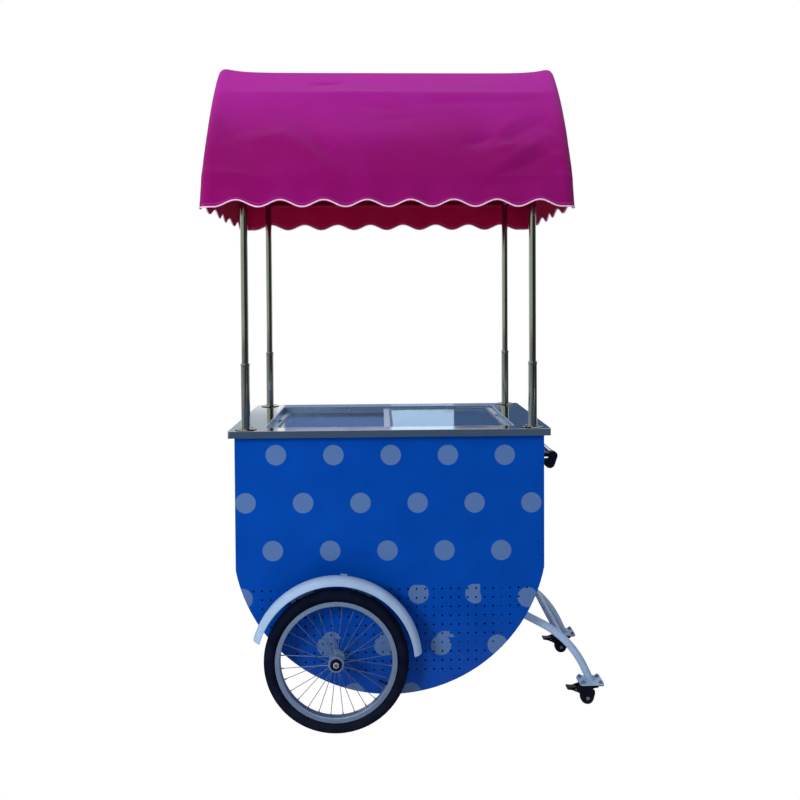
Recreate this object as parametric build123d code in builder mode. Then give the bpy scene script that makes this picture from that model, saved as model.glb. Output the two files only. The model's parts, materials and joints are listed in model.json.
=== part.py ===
from build123d import *
import os
from math import cos, floor, hypot, radians, sin, sqrt

# Freezer cart with a round belly, two spoked wheels, two braked casters and a cloth canopy.
# Sizes are in millimetres and angles in degrees. +Z is up and +X points to the handle.
# The origin is on the ground, under the middle of the whole cart.

# Body shell
BODY_LENGTH = 1090.0
BODY_WIDTH = 600.0
KINK_HEIGHT = 545.0
BELLY_HEIGHT = 97.0
SHEET = 2.0
PANEL_RETURN = 18.0

# Vent holes in the side panels
VENT_HOLE = 8.0
VENT_SIDES = 6
VENT_PITCH_X = 30.2
VENT_PITCH_Z = 31.9
VENT_TOP_DROP = 74.0
VENT_ROWS = 10
VENT_MARGIN = 38.0

# Countertop
COUNTER_HEIGHT = 1042.0
COUNTER_OVERHANG_X = 18.0
COUNTER_OVERHANG_Y = 34.0
COUNTER_SHEET = 2.0
COUNTER_EDGE = 25.0
COUNTER_CORNER = 8.0
OPENING_MARGIN_X = 100.0
OPENING_MARGIN_Y = 35.0

# Welded frame inside the body
FRAME_TUBE = 20.0
FRAME_CLEARANCE = 3.0

# Freezer cabinet and its liner
FREEZER_RIM_DROP = 42.0
FREEZER_WALL = 45.0
FREEZER_FLOOR = 50.0
FREEZER_CORNER = 30.0
LINER_SHEET = 2.0
LINER_FLANGE = 18.0
SEAT_GAP = 0.3

# Sliding glass lids and the frame they run in
LID_FRAME_WALL = 4.0
LID_FRAME_BASE = 8.0
LOWER_LEDGE = 10.0
UPPER_LEDGE = 8.0
LID_THICKNESS = 12.0
LID_STEP_GAP = 2.0
LID_SIDE_GAP = 1.0
LID_OVERLAP = 40.0
LID_STILE = 30.0
LID_PULL_LENGTH = 110.0
LID_PULL_WIDTH = 12.0
LID_PULL_DEPTH = 5.0
GLASS = 4.0
GLASS_REBATE = 8.0

# Poles and the sleeves that they plug into
POLE_INSET_X = 58.0
POLE_INSET_Y = 38.0
POLE_DIAMETER = 25.0
POLE_WALL = 1.5
POLE_FIT = 0.4
SLEEVE_DIAMETER = 31.0
SLEEVE_HEIGHT = 232.0
FLANGE_DIAMETER = 70.0
FLANGE_THICKNESS = 4.0
FLANGE_BEVEL = 1.5

# Canopy cloth
CANOPY_OVERHANG_X = 70.0
CANOPY_OVERHANG_Y = 82.0
HEM_ABOVE_COUNTER = 764.0
VALANCE_HEIGHT = 109.0
VALANCE_SPLAY = 28.0
EAVE_BEND = 90.0
ROOF_RISE = 473.0
ROOF_RADIUS = 1250.0
RIDGE_RADIUS = 60.0
CANOPY_CORNER = 40.0
CLOTH = 2.0
HEM_FLAT = 53.0
HEM_WAVE_RISE = 23.0
FRONT_WAVES = 8
END_WAVES = 5

# Canopy frame
CANOPY_TUBE = 19.0
CLOTH_EASE = 0.8
SHOULDER_PLACE = 0.7

# Wheels and axle
WHEEL_DIAMETER = 500.0
WHEEL_PANEL_GAP = 38.0
WHEEL_OFFSET = -190.0
TYRE_WIDTH = 44.0
TYRE_HEIGHT = 40.0
RIM_FLANGE_HEIGHT = 10.0
RIM_WELL = 7.0
RIM_WIDTH = 29.0
RIM_LIP = 3.0
RIM_ROUND = 4.0
HUB_LENGTH = 52.0
HUB_BARREL_RADIUS = 15.0
HUB_CUP_RADIUS = 18.0
HUB_CUP_LENGTH = 2.0
HUB_FLANGE_RADIUS = 27.0
HUB_FLANGE_SPACING = 44.0
HUB_FLANGE_THICKNESS = 2.0
SPOKE_DIAMETER = 2.4
SPOKE_SIDES = 6
SPOKES_PER_WHEEL = 28
SPOKE_HOLE_INSET = 2.0
SPOKE_RIM_OFFSET = 3.0
SPOKE_HEAD_GAP = 0.6
SPOKE_TIP_GAP = 0.2
AXLE_DIAMETER = 12.0
AXLE_SHOULDER_DIAMETER = 24.0
AXLE_HOLE_GAP = 1.5
RUNNING_FIT = 0.05
AXLE_CAP_RADIUS = 19.5
AXLE_CAP_LENGTH = 9.0
AXLE_CAP_FLOOR = 3.0
AXLE_NUT_GAP = 1.6
AXLE_NUT_WIDTH = 18.0
AXLE_NUT_LENGTH = 6.0
AXLE_END = 2.0
SADDLE_LENGTH = 56.0
SADDLE_WIDTH = 24.0
SADDLE_WALL = 8.0

# Mudguards
MUDGUARD_GAP = 22.0
MUDGUARD_WIDTH = 62.0
MUDGUARD_CROWN = 24.0
MUDGUARD_SHEET = 2.0
MUDGUARD_FRONT_ANGLE = 5.0
MUDGUARD_REAR_ANGLE = 164.0
BRACKET_ANGLES = (35.0, 85.0, 135.0)
BRACKET_WIDTH = 24.0
BRACKET_THICKNESS = 4.0
BRACKET_FOOT = 26.0

# Legs and casters
LEG_TRACK = 410.0
LEG_DIAMETER = 28.0
LEG_FOOT_ANGLE = 65.0
LEG_TOP_ANGLE = 28.0
LEG_BEND_OFFSET = 73.6
LEG_BEND_RADIUS = 360.0
LEG_TOP_LENGTH = 268.4
CROSS_TUBE_DIAMETER = 25.0
CROSS_TUBE_PLACE = 0.5
CASTER_REACH = 190.0
CASTER_HEIGHT = 82.0
CASTER_TRAIL = 12.0
CASTER_PLATE_LENGTH = 88.0
CASTER_PLATE_WIDTH = 70.0
CASTER_PLATE = 3.0
CASTER_PLATE_ROUND = 8.0
LEG_PLATE = 4.0
BOLT_SPAN_X = 66.0
BOLT_SPAN_Y = 48.0
BOLT_DIAMETER = 8.0
BOLT_HOLE = 9.0
BOLT_HEAD = 2.5
BOLT_NUT_WIDTH = 13.0
BOLT_NUT = 6.0
BOLT_END = 3.0
RACEWAY_DIAMETER = 46.0
RACEWAY_HEIGHT = 6.0
KINGPIN_DIAMETER = 10.0
CASTER_WHEEL_DIAMETER = 50.0
CASTER_WHEEL_WIDTH = 20.0
CASTER_TREAD_ROUND = 3.0
FORK_SIDE_GAP = 1.5
FORK_SHEET = 2.5
FORK_ROUND = 22.0
FORK_WIDTH = 54.0
FORK_SHOULDER_HEIGHT = 40.0
FORK_NECK_RADIUS = 9.0
FORK_NOSE_RADIUS = 5.0
FORK_NOSE_REACH = 36.0
FORK_TOP = 3.0
RIVET_DIAMETER = 8.0
RIVET_HEAD_DIAMETER = 14.0
RIVET_HEAD = 2.5
PEDAL_PIVOT_BACK = 44.0
PEDAL_PIVOT_DROP = 15.0
PEDAL_EAR_RADIUS = 8.0
PEDAL_PIN_DIAMETER = 5.0
PEDAL_LENGTH = 31.0
PEDAL_SLOPE = 6.0
PEDAL_THICKNESS = 4.0
PEDAL_TOE_WIDTH = 34.0
PEDAL_TOE_LENGTH = 16.0
PEDAL_SIDE_GAP = 0.5

# Push handle
HANDLE_DROP = 116.0
HANDLE_REACH = 48.0
HANDLE_LENGTH = 450.0
HANDLE_DIAMETER = 25.0
HANDLE_BRACKET_WIDTH = 24.0
HANDLE_BOSS_RADIUS = 15.5
HANDLE_LOBE_RADIUS = 19.0
HANDLE_LOBE_BACK = 13.0
HANDLE_LOBE_DROP = 27.0
HANDLE_ARM_HEIGHT = 14.0
HANDLE_ARM_DROPS = (-3.0, 20.0)
HANDLE_SLOT_LENGTH = 28.0
HANDLE_FOOT = 6.0
HANDLE_FOOT_HEIGHT = 66.0
HANDLE_SOCKET_DEPTH = 14.0

# Cooling unit under the freezer
UNIT_SPACE = 248.0
TRAY_LIP = 14.0
COMPRESSOR_RADIUS = 72.0
COMPRESSOR_HEIGHT = 150.0
COMPRESSOR_DOME = 40.0
COMPRESSOR_OFFSET = 40.0
COMPRESSOR_FOOT_HEIGHT = 14.0
COMPRESSOR_FOOT_RADIUS = 11.0
CONDENSER_OFFSET = 255.0
CONDENSER_WIDTH = 190.0
CONDENSER_HEIGHT = 170.0
CONDENSER_DEPTH = 36.0
CONDENSER_FIN = 2.0
CONDENSER_FINS = 16
CONDENSER_CORE = 12.0
SHROUD_SHEET = 3.0
SHROUD_DEPTH = 36.0
FAN_DUCT_MARGIN = 8.0
FAN_TIP_GAP = 5.0
FAN_BLADES = 5
FAN_BLADE_SHEET = 2.0
FAN_BLADE_CHORD = 36.0
FAN_BLADE_PITCH = 28.0
FAN_BACK_GAP = 4.0
FAN_HUB_RADIUS = 20.0
FAN_HUB_LENGTH = 16.0
FAN_SHAFT_DIAMETER = 6.0
FAN_SHAFT_LENGTH = 20.0
FAN_MOTOR_RADIUS = 26.0
FAN_MOTOR_LENGTH = 40.0
FAN_ARM = 8.0

SIDES = {"near": -1, "far": 1}
ENDS = {"left": -1, "right": 1}

# Places worked out from the driving dimensions
BODY_HALF = BODY_LENGTH / 2
COUNTER_LENGTH = BODY_LENGTH + 2 * COUNTER_OVERHANG_X
COUNTER_WIDTH = BODY_WIDTH + 2 * COUNTER_OVERHANG_Y
OPENING_LENGTH = BODY_LENGTH - 2 * OPENING_MARGIN_X
OPENING_WIDTH = BODY_WIDTH - 2 * OPENING_MARGIN_Y
POLE_SPAN_X = COUNTER_LENGTH - 2 * POLE_INSET_X
POLE_SPAN_Y = COUNTER_WIDTH - 2 * POLE_INSET_Y
CANOPY_LENGTH = COUNTER_LENGTH + 2 * CANOPY_OVERHANG_X
HEM_DEPTH = COUNTER_WIDTH + 2 * CANOPY_OVERHANG_Y
CASTER_OFFSET = BODY_HALF + CASTER_REACH
PLATE_REACH = CASTER_OFFSET + CASTER_PLATE_LENGTH / 2
BODY_X = (CANOPY_LENGTH / 2 - PLATE_REACH) / 2
PANEL_TOP = COUNTER_HEIGHT - COUNTER_SHEET
BELLY_DROP = KINK_HEIGHT - BELLY_HEIGHT
BELLY_RADIUS = (BODY_HALF**2 + BELLY_DROP**2) / (2 * BELLY_DROP)
BELLY_CENTRE_Z = BELLY_HEIGHT + BELLY_RADIUS

WHEEL_RADIUS = WHEEL_DIAMETER / 2
AXLE_X = BODY_X + WHEEL_OFFSET
AXLE_Z = WHEEL_RADIUS
WHEEL_Y = BODY_WIDTH / 2 + WHEEL_PANEL_GAP + HUB_LENGTH / 2
AXLE_HOLE = AXLE_SHOULDER_DIAMETER + 2 * AXLE_HOLE_GAP
RIM_EDGE_RADIUS = WHEEL_RADIUS - TYRE_HEIGHT
RIM_SEAT_RADIUS = RIM_EDGE_RADIUS - RIM_FLANGE_HEIGHT
RIM_INNER_RADIUS = RIM_SEAT_RADIUS - RIM_WELL
SPOKE_HOLE_RADIUS = HUB_FLANGE_RADIUS - SPOKE_HOLE_INSET

FRAME_HALF_LENGTH = BODY_HALF - SHEET - SEAT_GAP
FRAME_HALF_WIDTH = BODY_WIDTH / 2 - 2 * SHEET - SEAT_GAP
LOWER_FRAME_BOTTOM = AXLE_Z + AXLE_SHOULDER_DIAMETER / 2 + SADDLE_WALL
LOWER_FRAME_TOP = LOWER_FRAME_BOTTOM + FRAME_TUBE
TRAY_TOP = LOWER_FRAME_TOP + SHEET

FREEZER_RIM = COUNTER_HEIGHT - FREEZER_RIM_DROP
FREEZER_BOTTOM = TRAY_TOP + UNIT_SPACE
FREEZER_DEPTH = FREEZER_RIM - FREEZER_BOTTOM
LID_FRAME_LENGTH = OPENING_LENGTH - 2 * LID_SIDE_GAP
LID_FRAME_WIDTH = OPENING_WIDTH - 2 * LID_SIDE_GAP
LOWER_TRACK = FREEZER_RIM + LID_FRAME_BASE
UPPER_TRACK = LOWER_TRACK + LID_THICKNESS + LID_STEP_GAP
LID_HALF_REACH = LID_FRAME_LENGTH / 2 - LID_FRAME_WALL - LID_SIDE_GAP

HEM_Z = COUNTER_HEIGHT + HEM_ABOVE_COUNTER
EAVE_Z = HEM_Z + VALANCE_HEIGHT
RIDGE_Z = EAVE_Z + ROOF_RISE
HEM_HALF = HEM_DEPTH / 2
EAVE_HALF = HEM_HALF - VALANCE_SPLAY
CANOPY_HALF = CANOPY_LENGTH / 2
TUBE_RADIUS = CANOPY_TUBE / 2
HOOP_OFFSET = CANOPY_CORNER - (CANOPY_CORNER - CLOTH - TUBE_RADIUS - CLOTH_EASE) / sqrt(2)

CASTER_X = BODY_X + CASTER_OFFSET
CASTER_Y = LEG_TRACK / 2
CASTER_WHEEL_X = CASTER_X - CASTER_TRAIL
CASTER_WHEEL_Z = CASTER_WHEEL_DIAMETER / 2
LEG_PLATE_TOP = CASTER_HEIGHT + LEG_PLATE
RACEWAY_BOTTOM = CASTER_HEIGHT - CASTER_PLATE - RACEWAY_HEIGHT
FORK_HALF_WIDTH = CASTER_WHEEL_WIDTH / 2 + FORK_SIDE_GAP + FORK_SHEET

HANDLE_X = BODY_X + BODY_HALF + HANDLE_REACH
HANDLE_HEIGHT = COUNTER_HEIGHT - HANDLE_DROP

os.makedirs("parts", exist_ok=True)


def keep(piece, label):
    """Label a finished piece and write it under that name."""
    piece.part.label = label
    export_step(piece.part, f"parts/{label}.step")


def arc_middle(centre, start, end):
    """The point halfway along the short arc about a centre, in the plane of the three points."""
    way = (start - centre).normalized() + (end - centre).normalized()
    return centre + way.normalized() * (start - centre).length


def belly_half_width(height, radius):
    """Half the length of the belly at a height, for a belly of this radius."""
    return sqrt(radius**2 - (BELLY_CENTRE_Z - height) ** 2)


LOWER_FRAME_HALF = belly_half_width(LOWER_FRAME_BOTTOM, BELLY_RADIUS - SHEET) - FRAME_CLEARANCE

# Side panels: straight ends, round belly, a field of vent holes and the axle hole
vent_places = []
for row in range(VENT_ROWS):
    vent_z = KINK_HEIGHT - VENT_TOP_DROP - row * VENT_PITCH_Z
    reach = belly_half_width(vent_z, BELLY_RADIUS) - VENT_MARGIN
    columns = floor(reach / VENT_PITCH_X)
    for column in range(-columns, columns + 1):
        vent_x = BODY_X + column * VENT_PITCH_X
        if hypot(vent_x - AXLE_X, vent_z - AXLE_Z) > AXLE_HOLE / 2 + VENT_HOLE:
            vent_places.append((vent_x, vent_z))

for side, sign in SIDES.items():
    with BuildPart() as side_panel:
        with BuildSketch(Plane.XZ.offset(-sign * BODY_WIDTH / 2)):
            with BuildLine():
                Polyline(
                    (BODY_X - BODY_HALF, KINK_HEIGHT),
                    (BODY_X - BODY_HALF, PANEL_TOP),
                    (BODY_X + BODY_HALF, PANEL_TOP),
                    (BODY_X + BODY_HALF, KINK_HEIGHT),
                )
                ThreePointArc(
                    (BODY_X + BODY_HALF, KINK_HEIGHT),
                    (BODY_X, BELLY_HEIGHT),
                    (BODY_X - BODY_HALF, KINK_HEIGHT),
                )
            make_face()
            with Locations((AXLE_X, AXLE_Z)):
                Circle(AXLE_HOLE / 2, mode=Mode.SUBTRACT)
            with Locations(*vent_places):
                RegularPolygon(VENT_HOLE / 2, VENT_SIDES, mode=Mode.SUBTRACT)
        extrude(amount=sign * SHEET)
    keep(side_panel, f"side_panel_{side}")

# End panels: a flat web with a return folded in along each side
for end, sign in ENDS.items():
    with BuildPart() as end_panel:
        with BuildSketch(Plane.XY.offset(KINK_HEIGHT)):
            with Locations((BODY_X + sign * (BODY_HALF - PANEL_RETURN / 2), 0)):
                Rectangle(PANEL_RETURN, BODY_WIDTH - 2 * SHEET)
            with Locations((BODY_X + sign * (BODY_HALF - PANEL_RETURN / 2 - SHEET), 0)):
                Rectangle(PANEL_RETURN, BODY_WIDTH - 4 * SHEET, mode=Mode.SUBTRACT)
        extrude(amount=PANEL_TOP - KINK_HEIGHT)
    keep(end_panel, f"end_panel_{end}")

# Belly: one rolled sheet between the side panels
with BuildPart() as belly_panel:
    with BuildSketch(Plane.XZ):
        inner_half = belly_half_width(KINK_HEIGHT, BELLY_RADIUS - SHEET)
        with BuildLine():
            Line((BODY_X + inner_half, KINK_HEIGHT), (BODY_X + BODY_HALF, KINK_HEIGHT))
            ThreePointArc(
                (BODY_X + BODY_HALF, KINK_HEIGHT),
                (BODY_X, BELLY_HEIGHT),
                (BODY_X - BODY_HALF, KINK_HEIGHT),
            )
            Line((BODY_X - BODY_HALF, KINK_HEIGHT), (BODY_X - inner_half, KINK_HEIGHT))
            ThreePointArc(
                (BODY_X - inner_half, KINK_HEIGHT),
                (BODY_X, BELLY_HEIGHT + SHEET),
                (BODY_X + inner_half, KINK_HEIGHT),
            )
        make_face()
    extrude(amount=BODY_WIDTH / 2 - SHEET, both=True)
keep(belly_panel, "belly_panel")

# Frame: a ring under the counter, four posts, two bearers for the freezer and a lower ring
with BuildPart() as body_frame:
    with BuildSketch(Plane.XY.offset(PANEL_TOP - FRAME_TUBE)):
        with Locations((BODY_X, 0)):
            Rectangle(2 * FRAME_HALF_LENGTH, 2 * FRAME_HALF_WIDTH)
            Rectangle(
                2 * (FRAME_HALF_LENGTH - FRAME_TUBE),
                2 * (FRAME_HALF_WIDTH - FRAME_TUBE),
                mode=Mode.SUBTRACT,
            )
    extrude(amount=FRAME_TUBE)
    with BuildSketch(Plane.XY.offset(LOWER_FRAME_BOTTOM)):
        with Locations((BODY_X, 0)):
            Rectangle(2 * LOWER_FRAME_HALF, 2 * FRAME_HALF_WIDTH)
            Rectangle(
                2 * (LOWER_FRAME_HALF - FRAME_TUBE),
                2 * (FRAME_HALF_WIDTH - FRAME_TUBE),
                mode=Mode.SUBTRACT,
            )
    extrude(amount=FRAME_TUBE)
    with BuildSketch(Plane.XY.offset(LOWER_FRAME_TOP)):
        with Locations((BODY_X, 0)):
            with GridLocations(2 * LOWER_FRAME_HALF - FRAME_TUBE, 2 * FRAME_HALF_WIDTH - FRAME_TUBE, 2, 2):
                Rectangle(FRAME_TUBE, FRAME_TUBE)
    extrude(amount=PANEL_TOP - FRAME_TUBE - LOWER_FRAME_TOP)
    with BuildSketch(Plane.XY.offset(FREEZER_BOTTOM - FRAME_TUBE)):
        with Locations((BODY_X, 0)):
            with GridLocations(2 * LOWER_FRAME_HALF - FRAME_TUBE, 0, 2, 1):
                Rectangle(FRAME_TUBE, 2 * FRAME_HALF_WIDTH - FRAME_TUBE)
    extrude(amount=FRAME_TUBE)
keep(body_frame, "body_frame")

# Countertop: a shallow pan turned upside down, with the freezer opening cut in it
with BuildPart() as countertop:
    with BuildSketch(Plane.XY.offset(COUNTER_HEIGHT - COUNTER_EDGE)):
        with Locations((BODY_X, 0)):
            RectangleRounded(COUNTER_LENGTH, COUNTER_WIDTH, COUNTER_CORNER)
    extrude(amount=COUNTER_EDGE)
    offset(amount=-COUNTER_SHEET, openings=countertop.faces().sort_by(Axis.Z)[0])
    with BuildSketch(Plane.XY.offset(COUNTER_HEIGHT)):
        with Locations((BODY_X, 0)):
            Rectangle(OPENING_LENGTH, OPENING_WIDTH)
    extrude(amount=-COUNTER_EDGE, mode=Mode.SUBTRACT)
keep(countertop, "countertop")

# Freezer cabinet: thick insulated walls and floor round a rounded hollow
LINER_LENGTH = OPENING_LENGTH - 2 * FREEZER_WALL
LINER_WIDTH = OPENING_WIDTH - 2 * FREEZER_WALL
with BuildPart() as freezer_cabinet:
    with BuildSketch(Plane.XY.offset(FREEZER_BOTTOM)):
        with Locations((BODY_X, 0)):
            Rectangle(OPENING_LENGTH, OPENING_WIDTH)
    extrude(amount=FREEZER_DEPTH)
    with BuildSketch(Plane.XY.offset(FREEZER_RIM)):
        with Locations((BODY_X, 0)):
            RectangleRounded(LINER_LENGTH, LINER_WIDTH, FREEZER_CORNER)
    extrude(amount=FREEZER_FLOOR - FREEZER_DEPTH, mode=Mode.SUBTRACT)
keep(freezer_cabinet, "freezer_cabinet")

# Freezer liner: a thin tub with a flange on the cabinet's rim
with BuildPart() as freezer_liner:
    with BuildSketch(Plane.XY.offset(FREEZER_BOTTOM + FREEZER_FLOOR)):
        with Locations((BODY_X, 0)):
            RectangleRounded(
                LINER_LENGTH - 2 * SEAT_GAP,
                LINER_WIDTH - 2 * SEAT_GAP,
                FREEZER_CORNER - SEAT_GAP,
            )
    extrude(amount=FREEZER_DEPTH - FREEZER_FLOOR)
    with BuildSketch(Plane.XY.offset(FREEZER_RIM)):
        with Locations((BODY_X, 0)):
            RectangleRounded(
                LINER_LENGTH + 2 * LINER_FLANGE,
                LINER_WIDTH + 2 * LINER_FLANGE,
                FREEZER_CORNER + LINER_FLANGE,
            )
    extrude(amount=LINER_SHEET)
    with BuildSketch(Plane.XY.offset(FREEZER_RIM + LINER_SHEET)):
        with Locations((BODY_X, 0)):
            RectangleRounded(
                LINER_LENGTH - 2 * SEAT_GAP - 2 * LINER_SHEET,
                LINER_WIDTH - 2 * SEAT_GAP - 2 * LINER_SHEET,
                FREEZER_CORNER - SEAT_GAP - LINER_SHEET,
            )
    extrude(amount=FREEZER_FLOOR - FREEZER_DEPTH, mode=Mode.SUBTRACT)
keep(freezer_liner, "freezer_liner")

# Lid frame: an outer wall with a lower ledge all round and an upper ledge along both long sides
with BuildPart() as lid_frame:
    inner_length = LID_FRAME_LENGTH - 2 * LID_FRAME_WALL
    inner_width = LID_FRAME_WIDTH - 2 * LID_FRAME_WALL
    with BuildSketch(Plane.XY.offset(FREEZER_RIM)):
        with Locations((BODY_X, 0)):
            Rectangle(LID_FRAME_LENGTH, LID_FRAME_WIDTH)
    extrude(amount=COUNTER_HEIGHT - FREEZER_RIM)
    with BuildSketch(Plane.XY.offset(COUNTER_HEIGHT)):
        with Locations((BODY_X, 0)):
            Rectangle(inner_length, inner_width)
    extrude(amount=UPPER_TRACK - COUNTER_HEIGHT, mode=Mode.SUBTRACT)
    with BuildSketch(Plane.XY.offset(COUNTER_HEIGHT)):
        with Locations((BODY_X, 0)):
            Rectangle(inner_length, inner_width - 2 * UPPER_LEDGE)
    extrude(amount=LOWER_TRACK - COUNTER_HEIGHT, mode=Mode.SUBTRACT)
    with BuildSketch(Plane.XY.offset(COUNTER_HEIGHT)):
        with Locations((BODY_X, 0)):
            Rectangle(inner_length - 2 * LOWER_LEDGE, inner_width - 2 * UPPER_LEDGE - 2 * LOWER_LEDGE)
    extrude(amount=FREEZER_RIM - COUNTER_HEIGHT, mode=Mode.SUBTRACT)
keep(lid_frame, "lid_frame")

# Lids: the left one runs on the lower ledges and the right one on the upper ledges
LID_LENGTH = LID_HALF_REACH + LID_OVERLAP / 2
LID_WIDTHS = {
    "left": inner_width - 2 * UPPER_LEDGE - 2 * LID_SIDE_GAP,
    "right": inner_width - 2 * LID_SIDE_GAP,
}
LID_BOTTOMS = {"left": LOWER_TRACK + SEAT_GAP, "right": UPPER_TRACK + SEAT_GAP}
for end, sign in ENDS.items():
    lid_centre = BODY_X + sign * (LID_HALF_REACH - LID_LENGTH / 2)
    lid_top = LID_BOTTOMS[end] + LID_THICKNESS
    pane_length = LID_LENGTH - 2 * LID_STILE
    pane_width = LID_WIDTHS[end] - 2 * LID_STILE
    with BuildPart() as lid_stiles:
        with BuildSketch(Plane.XY.offset(LID_BOTTOMS[end])):
            with Locations((lid_centre, 0)):
                Rectangle(LID_LENGTH, LID_WIDTHS[end])
                Rectangle(pane_length, pane_width, mode=Mode.SUBTRACT)
        extrude(amount=LID_THICKNESS)
        with BuildSketch(Plane.XY.offset(lid_top)):
            with Locations((lid_centre, 0)):
                Rectangle(pane_length + 2 * GLASS_REBATE, pane_width + 2 * GLASS_REBATE)
        extrude(amount=-GLASS, mode=Mode.SUBTRACT)
        with BuildSketch(Plane.XY.offset(lid_top)):
            with Locations((lid_centre + sign * (LID_LENGTH - LID_STILE + GLASS_REBATE) / 2, 0)):
                SlotOverall(LID_PULL_LENGTH, LID_PULL_WIDTH, rotation=90)
        extrude(amount=-LID_PULL_DEPTH, mode=Mode.SUBTRACT)
    keep(lid_stiles, f"lid_{end}_frame")
    with BuildPart() as lid_glass:
        with BuildSketch(Plane.XY.offset(lid_top - GLASS)):
            with Locations((lid_centre, 0)):
                Rectangle(
                    pane_length + 2 * GLASS_REBATE - 2 * SEAT_GAP,
                    pane_width + 2 * GLASS_REBATE - 2 * SEAT_GAP,
                )
        extrude(amount=GLASS)
    keep(lid_glass, f"lid_{end}_glass")

# Pole sleeves: a round flange on the counter with a tube standing on it
with BuildPart() as pole_sleeves:
    with BuildSketch(Plane.XY.offset(COUNTER_HEIGHT)):
        with Locations((BODY_X, 0)):
            with GridLocations(POLE_SPAN_X, POLE_SPAN_Y, 2, 2):
                Circle(FLANGE_DIAMETER / 2)
    extrude(amount=FLANGE_THICKNESS)
    chamfer(pole_sleeves.edges().group_by(Axis.Z)[-1], FLANGE_BEVEL)
    with BuildSketch(Plane.XY.offset(COUNTER_HEIGHT + FLANGE_THICKNESS)):
        with Locations((BODY_X, 0)):
            with GridLocations(POLE_SPAN_X, POLE_SPAN_Y, 2, 2):
                Circle(SLEEVE_DIAMETER / 2)
                Circle(POLE_DIAMETER / 2 + POLE_FIT, mode=Mode.SUBTRACT)
    extrude(amount=SLEEVE_HEIGHT - FLANGE_THICKNESS)
keep(pole_sleeves, "pole_sleeves")

# Roof section: two large arcs from the eaves that run into a small round ridge
eave = Vector(-EAVE_HALF, EAVE_Z)
ridge_centre = Vector(0, RIDGE_Z - RIDGE_RADIUS)
span = ridge_centre - eave
along = (ROOF_RADIUS**2 - (ROOF_RADIUS - RIDGE_RADIUS) ** 2 + span.length**2) / (2 * span.length)
across = sqrt(ROOF_RADIUS**2 - along**2)
span_way = span.normalized()
roof_centre = eave + span_way * along + Vector(span_way.Y, -span_way.X) * across


def flat(point):
    """A point of a section as a plain pair of numbers."""
    return (point.X, point.Y)


def roof_points(inset):
    """Eave, roof and ridge points of the left half of a roof section this far inside the cloth."""
    radius = ROOF_RADIUS - inset
    start = roof_centre + (eave - roof_centre).normalized() * radius
    meet = roof_centre + (ridge_centre - roof_centre).normalized() * radius
    top = ridge_centre + Vector(0, RIDGE_RADIUS - inset)
    return flat(start), flat(arc_middle(roof_centre, start, meet)), flat(meet), flat(top)


def flip(point):
    """The same point of a section on the other side of the middle."""
    return (-point[0], point[1])


def hem_wave(centre, length, waves):
    """A wavy cut line along a hem, closed below it: arcs that meet at the middle of the wave's rise."""
    middle = HEM_Z + HEM_WAVE_RISE / 2
    left = centre - length / 2 + HEM_FLAT
    right = centre + length / 2 - HEM_FLAT
    pitch = (right - left) / waves
    quarter = pitch / 4
    with BuildLine() as line:
        for wave in range(waves):
            start = left + wave * pitch
            ThreePointArc(
                (start + quarter, middle),
                (start + 2 * quarter, HEM_Z + HEM_WAVE_RISE),
                (start + 3 * quarter, middle),
            )
            if wave < waves - 1:
                ThreePointArc(
                    (start + 3 * quarter, middle),
                    (start + 4 * quarter, HEM_Z),
                    (start + 5 * quarter, middle),
                )
        Polyline(
            (right - quarter, middle),
            (right, HEM_Z),
            (right, HEM_Z - HEM_WAVE_RISE),
            (left, HEM_Z - HEM_WAVE_RISE),
            (left, HEM_Z),
            (left + quarter, middle),
        )
    return line


# Canopy cloth: one thin shell with rounded ends, open below, with a wavy hem
with BuildPart() as canopy_cloth:
    with BuildSketch(Plane.YZ.offset(BODY_X)):
        roof_start, roof_middle, roof_meet, roof_top = roof_points(0)
        with BuildLine():
            Line((-HEM_HALF, HEM_Z), roof_start)
            ThreePointArc(roof_start, roof_middle, roof_meet)
            ThreePointArc(roof_meet, roof_top, flip(roof_meet))
            ThreePointArc(flip(roof_meet), flip(roof_middle), flip(roof_start))
            Polyline(flip(roof_start), (HEM_HALF, HEM_Z), (-HEM_HALF, HEM_Z))
        roof_face = make_face()
        eave_corners = roof_face.vertices().filter_by(lambda vertex: abs(vertex.Y - EAVE_Z) < CLOTH)
        fillet(eave_corners, EAVE_BEND)
    extrude(amount=CANOPY_HALF, both=True)
    end_edges = canopy_cloth.faces().filter_by(Axis.X).edges()
    fillet(end_edges.filter_by(lambda edge: edge.center().Z > HEM_Z + CLOTH), CANOPY_CORNER)
    offset(amount=-CLOTH, openings=canopy_cloth.faces().sort_by(Axis.Z)[0])
    with BuildSketch(Plane.XZ):
        make_face(hem_wave(BODY_X, CANOPY_LENGTH, FRONT_WAVES).line)
    extrude(amount=HEM_DEPTH, both=True, mode=Mode.SUBTRACT)
    with BuildSketch(Plane.YZ.offset(BODY_X)):
        make_face(hem_wave(0, HEM_DEPTH, END_WAVES).line)
    extrude(amount=CANOPY_LENGTH, both=True, mode=Mode.SUBTRACT)
keep(canopy_cloth, "canopy_cloth")

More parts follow.
